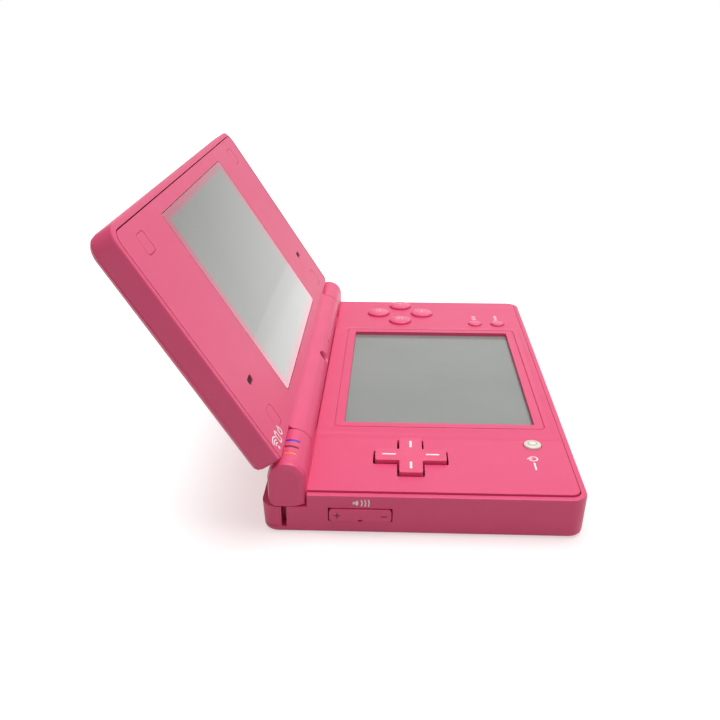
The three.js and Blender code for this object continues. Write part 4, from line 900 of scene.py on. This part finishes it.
def print_sign(name, parts, place, finish, body, slot="power_key", height=ink_height):
    """Join flat parts, give them thickness and carry them to their surface."""
    select_only(*parts)
    bpy.ops.object.join()
    sign = bpy.context.object
    sign.name = name
    sign.data.name = name
    open_mesh(sign)
    bpy.ops.mesh.select_all(action="SELECT")
    bpy.ops.mesh.normals_make_consistent(inside=False)
    leave_edit_mode()
    wall = sign.modifiers.new("ink", "SOLIDIFY")
    wall.thickness = height + ink_sink
    wall.offset = 0
    apply_modifiers(sign)
    settle(sign, place @ Matrix.Translation((0, 0, (height - ink_sink) / 2)))
    open_mesh(sign)
    bpy.ops.mesh.select_all(action="SELECT")
    bpy.ops.mesh.normals_make_consistent(inside=False)
    leave_edit_mode()
    finish_piece(sign, finish, body, slot)


# %% Signs beside the small keys
nodes = frame["nodes"]
panel = nodes["upper_panel"]


def on_panel(x, y):
    """A place on the upper panel, given in mm."""
    return surface_frame(panel, Vector((x, y, 0)) * MM + above, down, (0, 1, 0))


print_sign(
    "sign_power",
    [
        flat_arc(1.7, 0, 0.85, 1.2, 120, 300),
        flat_bar(1.7, 0.8, 0.36, 1.4),
        flat_bar(-2.0, 0, 3.6, 0.42),
    ],
    on_panel(-51.9, -27.1),
    print_finish,
    "base",
)
print_sign(
    "sign_start",
    [flat_arc(-2.6, 0, 0, 1.1), flat_bar(1.0, 0, 4.6, 0.9)],
    on_panel(49.7, -27.9),
    faint_finish,
    "base",
)
print_sign(
    "sign_select",
    [flat_arc(x, 0, 0, 0.8) for x in (-2.2, 0, 2.2)],
    on_panel(49.4, -20.4),
    faint_finish,
    "base",
)

# %% [markdown]
# ## Dots on the face keys
# Each face key has a small pale mark in its middle. One to four dots tell the four keys apart.
# The power key carries a thin ring instead.

# %% Dots and the ring on the keys
dot_spots = {
    "face_button_right": [(0, 0)],
    "face_button_front": [(-0.6, 0), (0.6, 0)],
    "face_button_back": [(-0.65, -0.4), (0.65, -0.4), (0, 0.7)],
    "face_button_left": [(-0.6, -0.6), (0.6, -0.6), (0.6, 0.6), (-0.6, 0.6)],
}
dot_radius = 0.36
dot_height = 0.045 * MM
dots_below = 0.03 * MM
ring_below = 0.045 * MM


def on_key(node, below):
    """The middle of a key's dome, a little below its top."""
    low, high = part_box(node)
    middle = (low + high) / 2
    return Matrix.Translation((middle.x, middle.y, high.z - below))


for node, spots in dot_spots.items():
    dots = [flat_arc(x, y, 0, dot_radius) for x, y in spots]
    place = on_key(node, dots_below)
    print_sign("dots_" + node, dots, place, faint_finish, node, height=dot_height)

print_sign(
    "ring_power_button",
    [flat_arc(0, 0, 0.95, 1.25)],
    on_key("power_button", ring_below),
    ring_finish,
    "power_button",
)

# %% [markdown]
# ## Marks in the side wall
# Above the rocker a pale loudspeaker is printed on the wall. The plus and minus of the rocker are
# grooves in the real key. Cutting them as holes would take a boolean for a line a third of a
# millimetre wide, so they are laid in as strips that stand proud by less than a hair, and their
# dark pink is a painted shade of the grooves.

# %% Speaker sign and rocker marks
far_left = -100
mark_height = 0.015 * MM
inward = Vector((1, 0, 0))


def on_wall(obj, y, z):
    """A place on the left wall, given in mm; on the wall the sign's X runs to the player."""
    return surface_frame(obj, Vector((far_left, y, z)) * MM, inward, (0, 0, 1))


print_sign(
    "sign_volume",
    [
        flat_bar(-1.75, 0, 0.7, 0.62),
        flat_arc(-1.9, 0, 0, 1.1, -42, 84),
        flat_arc(-1.6, 0, 1.5, 1.78, -30, 60),
        flat_arc(-1.6, 0, 2.3, 2.58, -22, 44),
        flat_arc(-1.6, 0, 3.1, 3.38, -17, 34),
    ],
    on_wall(nodes["lower_shell"], 14.0, 8.35),
    print_finish,
    "base",
)
# The plus and minus are strips in a painted groove shade.
print_sign(
    "rocker_plus",
    [flat_bar(0, 0, 1.5, 0.3), flat_bar(0, 0, 0.3, 1.5)],
    on_wall(rocker, 19.7, 5.1),
    groove_shade_finish,
    "volume_rocker",
    "key",
    mark_height,
)
print_sign(
    "rocker_minus",
    [flat_bar(0, 0, 1.5, 0.32)],
    on_wall(rocker, 9.0, 5.0),
    groove_shade_finish,
    "volume_rocker",
    "key",
    mark_height,
)

# %% [markdown]
# ## Small signs on the lid
# Beside the three lights the lid repeats what they tell: power, battery and wireless. The three
# signs are printed in a row near the hinge, small and white.

# %% Signs on the lid
lid_normal = (lid_frame.to_3x3() @ Vector((0, 0, 1))).normalized()
lid_up = (lid_frame.to_3x3() @ Vector((0, 1, 0))).normalized()


def on_lid(x, up):
    """A place on the lid's inner side, in mm across and up the lid."""
    start = lid_frame @ (Vector((x, up, 0)) * MM + above)
    return surface_frame(nodes["lid_inner_panel"], start, -lid_normal, lid_up)


print_sign(
    "sign_lid_power",
    [flat_arc(0, 0, 0.72, 1.1, 120, 300), flat_bar(0, 0.8, 0.36, 1.3)],
    on_lid(-57.5, 7.4),
    print_finish,
    "lid",
)
print_sign(
    "sign_lid_battery",
    [
        flat_bar(-0.75, 0, 0.34, 2.8),
        flat_bar(0.75, 0, 0.34, 2.8),
        flat_bar(0, 1.25, 1.5, 0.34),
        flat_bar(0, -1.25, 1.5, 0.34),
        flat_bar(0, 1.6, 0.7, 0.4),
    ],
    on_lid(-60.6, 7.3),
    print_finish,
    "lid",
)
print_sign(
    "sign_lid_wireless",
    [flat_arc(0, -1.2, 0, 0.42)]
    + [flat_arc(0, -1.2, radius, radius + 0.33, 45, 90) for radius in (1.0, 1.75, 2.5)],
    on_lid(-63.9, 7.4),
    print_finish,
    "lid",
)

# %% [markdown]
# ## Dark sheets in the speaker slots
# Each speaker speaks through a short slot in the lid, and just below the surface lies a thin dark
# sheet as wide as the slot, with round ends, set less than half a millimetre deep. It makes the
# slots look black: its black is partly the dark speaker behind and partly painted shade deep in the
# slot.

# %% Dark sheets under the speaker slots
slot_place = Vector((53.5, 20.6))
slot_half = 1.2
slot_round = 0.84
dark_sheet_depth = 0.4 * MM
beside_slot = 6
for side, name in ((-1, "left"), (1, "right")):
    # The sheet's black is partly painted shade of the deep slot.
    surface = on_lid(side * (slot_place.x - beside_slot), slot_place.y)
    print_sign(
        "speaker_dark_sheet_" + name,
        [flat_bar(0, 0, 2 * slot_half, 2 * slot_round)]
        + [flat_arc(end * slot_half, 0, 0, slot_round) for end in (-1, 1)],
        surface @ Matrix.Translation((side * beside_slot * MM, 0, -dark_sheet_depth)),
        dark_finish,
        "lid",
        "inner_plastic",
    )

# %% [markdown]
# ## Light guides
# Three clear bars carry the light of small diodes to the knuckle's top. The first glows blue, the
# second is off and looks dull dark red, and the third glows orange. The bars keep their CAD shape
# with a rounded edge. Their glow is the emission of their own shader, uneven along the bar.

# %% Light guides
guide_round = 0.1 * MM
glow_low = 0.3
glow_high = 0.75
glow_paling = 0.03


def light_finish(name, body_colour, glow_colour, strength, shine=1.0):
    """Clear coloured plastic that may glow; a low shine lets a bar show its own colour alone."""
    finish, shader = new_finish(
        name,
        Specular_IOR_Level=0.5 * shine,
        Coat_Weight=0.3 * shine,
        Coat_Roughness=0.15,
        Emission_Strength=strength,
    )
    mottle(finish, shader, body_colour, body_colour, 500)
    uneven_gloss(finish, shader, 0.15, 0.25, 1500)
    clouds = noise(finish, 900)
    ramp = add_node(finish, "ValToRGB")
    glow = Vector(colour(glow_colour))
    ramp.color_ramp.elements[0].position = glow_low
    ramp.color_ramp.elements[0].color = glow
    ramp.color_ramp.elements[1].position = glow_high
    ramp.color_ramp.elements[1].color = glow.lerp(Vector((1, 1, 1, 1)), glow_paling)
    wire(finish, clouds, "Fac", ramp, "Fac")
    wire(finish, ramp, "Color", shader, "Emission Color")
    return finish


blue_finish = light_finish("blue light", "#10006A", "#2A00D0", 0.7)
dull_finish = light_finish("light that is off", "#8F3248", "#8F3248", 0.0, 0.15)
orange_finish = light_finish("orange light", "#C8602C", "#F08030", 0.35)
for node, finish, slot in (
    ("light_guide_1", blue_finish, "light_blue"),
    ("light_guide_2", dull_finish, "light_grey"),
    ("light_guide_3", orange_finish, "light_orange"),
):
    guide = rounded_copy(node, "glowing_" + node, guide_round)
    finish_piece(guide, finish, "base", slot, node)

# %% [markdown]
# ## The two screens
# The upper screen lies under a clear lens with a pink printed border, and the lower one under the
# matt film that feels the stylus. Both are off, so they look grey. The lens is one flat plate,
# and the border isn't a part of its own but print on its back, so its finish is split by place:
# coordinates are turned into the lid's frame, and a soft step across and up the lid parts screen
# from border.

# %% Lens finish
screen_half = (33.0 * MM, 24.75 * MM)
screen_middle = 35.1 * MM
screen_soft = 0.6 * MM


def inside_step(finish, source, output, middle, half, soft):
    """1 within half of a middle, 0 outside, with a soft edge."""
    shift = add_node(finish, "Math", operation="SUBTRACT")
    shift.inputs[1].default_value = middle
    size = add_node(finish, "Math", operation="ABSOLUTE")
    step = add_node(finish, "MapRange")
    step.inputs["From Min"].default_value = half - soft
    step.inputs["From Max"].default_value = half + soft
    step.inputs["To Min"].default_value = 1
    step.inputs["To Max"].default_value = 0
    wire(finish, source, output, shift, 0)
    wire(finish, shift, "Value", size, 0)
    wire(finish, size, "Value", step, "Value")
    return step


def product(finish, first, second):
    both = add_node(finish, "Math", operation="MULTIPLY")
    wire(finish, first, "Result", both, 0)
    wire(finish, second, "Result", both, 1)
    return both


def blend_colours(finish, mask, first, second):
    """The first colour where the mask is 0 and the second where it is 1."""
    mixed = add_node(finish, "MixRGB")
    wire(finish, mask, "Value", mixed, "Fac")
    wire(finish, first, "Color", mixed, "Color1")
    wire(finish, second, "Color", mixed, "Color2")
    return mixed


lens_finish, lens_shader = new_finish(
    "screen lens", Specular_IOR_Level=0.8, Coat_Weight=1.0, Coat_Roughness=0.03
)
border_ramp = mottle(lens_finish, lens_shader, "#C22E5D", "#C83463", 120)
screen_ramp = mottle(lens_finish, lens_shader, "#767974", "#7C7F79", 40)
uneven_gloss(lens_finish, lens_shader, 0.06, 0.1, 60)
lens_place, lens_output = object_place(lens_finish)
lens_turn = add_node(lens_finish, "Mapping", vector_type="TEXTURE")
lens_turn.inputs["Location"].default_value = hinge_line
lens_turn.inputs["Rotation"].default_value = (lid_tilt, 0, 0)
lens_axes = add_node(lens_finish, "SeparateXYZ")
wire(lens_finish, lens_place, lens_output, lens_turn, "Vector")
wire(lens_finish, lens_turn, "Vector", lens_axes, "Vector")
across_step = inside_step(lens_finish, lens_axes, "X", 0, screen_half[0], screen_soft)
up_step = inside_step(lens_finish, lens_axes, "Y", screen_middle, screen_half[1], screen_soft)
screen_mask = product(lens_finish, across_step, up_step)
lens_colour = blend_colours(lens_finish, screen_mask, border_ramp, screen_ramp)
wire(lens_finish, lens_colour, "Color", lens_shader, "Base Color")

lens_round = 0.12 * MM
lens = rounded_copy("upper_lens", "clear_lens", lens_round)
finish_piece(lens, lens_finish, "lid", "upper_lens", "upper_lens")

# %% Touch film finish
film_finish = make_finish(
    "touch film", ("#828783", "#888C89", 60), (0.16, 0.24, 120), (9000, 0.001 * MM)
)
film_round = 0.1 * MM
film = rounded_copy("touch_screen", "touch_film", film_round)
finish_piece(film, film_finish, "base", "touch_screen", "touch_screen")

# %% [markdown]
# ## Small parts with rounded edges
# Screw covers, screws, ports, camera windows and the stylus keep their CAD form. Each gets a fine
# round on its edges, as wide as its size allows, and the finish of what it is made of.

# %% Small parts
small_parts = {
    **{f"screw_cover_{n}": ("lid", shell_finish, "shell", 0.12) for n in (1, 2, 3, 4)},
    **{f"cover_screw_{n}": ("base", steel_finish, "steel", 0.06) for n in (1, 2)},
    **{f"case_screw_{n}": ("base", steel_finish, "steel", 0.06) for n in (1, 2, 3, 4)},
    "game_card_slot": ("base", dark_finish, "inner_plastic", 0.08),
    "charging_port": ("base", steel_finish, "steel", 0.06),
    "audio_jack": ("base", dark_finish, "inner_plastic", 0.06),
    "memory_card_socket": ("base", steel_finish, "steel", 0.06),
    "stylus": ("stylus", pen_finish, "stylus", 0.1),
    "outer_camera_window": ("lid", glass_finish, "camera_window", 0.08),
    "inner_camera_window": ("lid", glass_finish, "camera_window", 0.06),
}
for node, (body, finish, slot, width) in small_parts.items():
    part = rounded_copy(node, "finished_" + node, width * MM)
    finish_piece(part, finish, body, slot, node)

# %% [markdown]
# ## What lies inside
# The inner parts show only through openings and at the hinge, so their CAD shapes stay as they
# are and only their materials change.

# %% Finishes of the inner parts
inner_parts = {
    board_finish: ("main_board", "wireless_module"),
    wrap_finish: ("battery",),
    rubber_finish: ("pad_rubber", "face_rubber", "start_select_rubber"),
    steel_finish: ("hinge_pin_left", "hinge_pin_right"),
    dark_finish: (
        *("lower_display", "upper_display", "volume_switch", "power_switch", "pad_pivot"),
        *("speaker_left", "speaker_right", "hinge_click_unit"),
        *("outer_camera", "inner_camera", "microphone"),
    ),
}
for finish, names in inner_parts.items():
    for name in names:
        for place in nodes[name].material_slots:
            place.material = finish
print(sum(len(names) for names in inner_parts.values()), "inner parts")

# %% [markdown]
# ## The table and the light
# The photograph shows the console on pure white, lit from above and from the front, so the wall
# that faces the camera lies in its own shade. A wide lamp stands there, a weak one fills the near
# side, a low one beyond the console draws the sheen on its top, and the world adds an even grey.
# The white itself doesn't come from the lamps: the floor and the world show white to the camera
# and to mirrors alone. The floor still takes the shadow, and round the console its own white is a
# painted shadow: it dims there and turns a little pink, a painted pink bounce light, because a
# shadow on a floor that glows evenly would be too faint.

# %% Floor
floor_side = 6
floor_drop = 0.3 * MM
base_half = Vector((68.5, 37.5, 0)) * MM
shadow_reach = 38 * MM
paper_shade = (0.45, 0.45, 0.45, 1)
# Near the console the floor's glow is a painted shadow, tinted as a painted pink bounce light.
painted_shadow_pink = (0.64, 0.56, 0.56, 1)
bpy.ops.object.select_all(action="DESELECT")
bpy.ops.mesh.primitive_plane_add(size=floor_side, location=(0, 0, -floor_drop))
floor = bpy.context.object
floor.name = "floor"

floor_finish = bpy.data.materials.new("white paper")
floor_finish.use_nodes = True
floor_finish.node_tree.nodes.clear()
floor_output = add_node(floor_finish, "OutputMaterial")
floor_sum = add_node(floor_finish, "AddShader")
floor_paper = add_node(floor_finish, "BsdfDiffuse", Color=paper_shade)
floor_glow = add_node(floor_finish, "Emission")
floor_rays = add_node(floor_finish, "LightPath")
floor_seen = add_node(floor_finish, "Math", operation="MAXIMUM")
floor_place, floor_point = object_place(floor_finish)
floor_mirror = add_node(floor_finish, "VectorMath", operation="ABSOLUTE")
floor_out = add_node(floor_finish, "VectorMath", operation="SUBTRACT")
floor_out.inputs[1].default_value = base_half
floor_clear = add_node(floor_finish, "VectorMath", operation="MAXIMUM")
floor_reach = add_node(floor_finish, "VectorMath", operation="LENGTH")
floor_fade = add_node(
    floor_finish, "MapRange", interpolation_type="SMOOTHSTEP", From_Max=shadow_reach
)
# This ramp carries the painted shadow: dim and pinkish near the console, white farther out.
floor_painted_shadow = add_node(floor_finish, "ValToRGB")
floor_painted_shadow.color_ramp.elements[0].color = painted_shadow_pink
floor_painted_shadow.color_ramp.elements[1].color = (1, 1, 1, 1)
for source, output, target, socket in (
    (floor_place, floor_point, floor_mirror, 0),
    (floor_mirror, "Vector", floor_out, 0),
    (floor_out, "Vector", floor_clear, 0),
    (floor_clear, "Vector", floor_reach, 0),
    (floor_reach, "Value", floor_fade, "Value"),
    (floor_fade, "Result", floor_painted_shadow, "Fac"),
    (floor_rays, "Is Camera Ray", floor_seen, 0),
    (floor_rays, "Is Glossy Ray", floor_seen, 1),
    (floor_seen, "Value", floor_glow, "Strength"),
    (floor_painted_shadow, "Color", floor_glow, "Color"),
    (floor_paper, "BSDF", floor_sum, 0),
    (floor_glow, "Emission", floor_sum, 1),
    (floor_sum, "Shader", floor_output, "Surface"),
):
    wire(floor_finish, source, output, target, socket)
paint(floor, floor_finish)
print("floor", floor_side, "m wide")

# %% World
sky_even = 0.36
sky_high = 0.3
sky_edge = 0.22
world = bpy.data.worlds.new("studio")
world.use_nodes = True
bpy.context.scene.world = world
sky = world.node_tree


def add_sky(kind, **values):
    """A node of the world's shader, with some of its sockets set."""
    node = sky.nodes.new("ShaderNode" + kind)
    for name, value in values.items():
        node.inputs[name.replace("_", " ")].default_value = value
    return node


sky_back = sky.nodes["Background"]
sky_back.inputs["Color"].default_value = (1, 1, 1, 1)
sky_rays = add_sky("LightPath")
sky_place = add_sky("TexCoord")
sky_axes = add_sky("SeparateXYZ")
sky_fall = add_sky("MapRange", From_Max=sky_edge, To_Min=1.0, To_Max=sky_high)
sky_glossy = add_sky("MapRange", To_Min=sky_even)
sky_camera = add_sky("MapRange", To_Max=1.0)
for source, output, target, socket in (
    (sky_place, "Generated", sky_axes, "Vector"),
    (sky_axes, "Z", sky_fall, "Value"),
    (sky_rays, "Is Glossy Ray", sky_glossy, "Value"),
    (sky_fall, "Result", sky_glossy, "To Max"),
    (sky_rays, "Is Camera Ray", sky_camera, "Value"),
    (sky_glossy, "Result", sky_camera, "To Min"),
    (sky_camera, "Result", sky_back, "Strength"),
):
    sky.links.new(source.outputs[output], target.inputs[socket])
print("world strength", sky_even, "on dull surfaces")


# %% Lamps
def add_lamp(name, place, target, side, power):
    """A square soft light at a place, turned to a target."""
    data = bpy.data.lights.new(name, "AREA")
    data.size = side
    data.energy = power
    lamp = bpy.data.objects.new(name, data)
    aim = (Vector(target) - Vector(place)).to_track_quat("-Z", "Y")
    lamp.matrix_world = Matrix.Translation(place) @ aim.to_matrix().to_4x4()
    bpy.context.collection.objects.link(lamp)


add_lamp("key light", (0.05, -0.2, 0.9), (0, 0, 0.02), 0.7, 7.1)
add_lamp("fill light", (-0.6, 0.15, 0.5), (0, 0, 0.03), 0.7, 0.32)
add_lamp("sheen light", (0.95, -0.15, 0.46), (0, 0, 0.01), 0.5, 0.62)
bpy.context.scene.view_settings.view_transform = "Standard"
print(len(bpy.data.lights), "lamps")

# %% [markdown]
# ## The end
# The last step leaves edit mode.

# %% The end
leave_edit_mode()
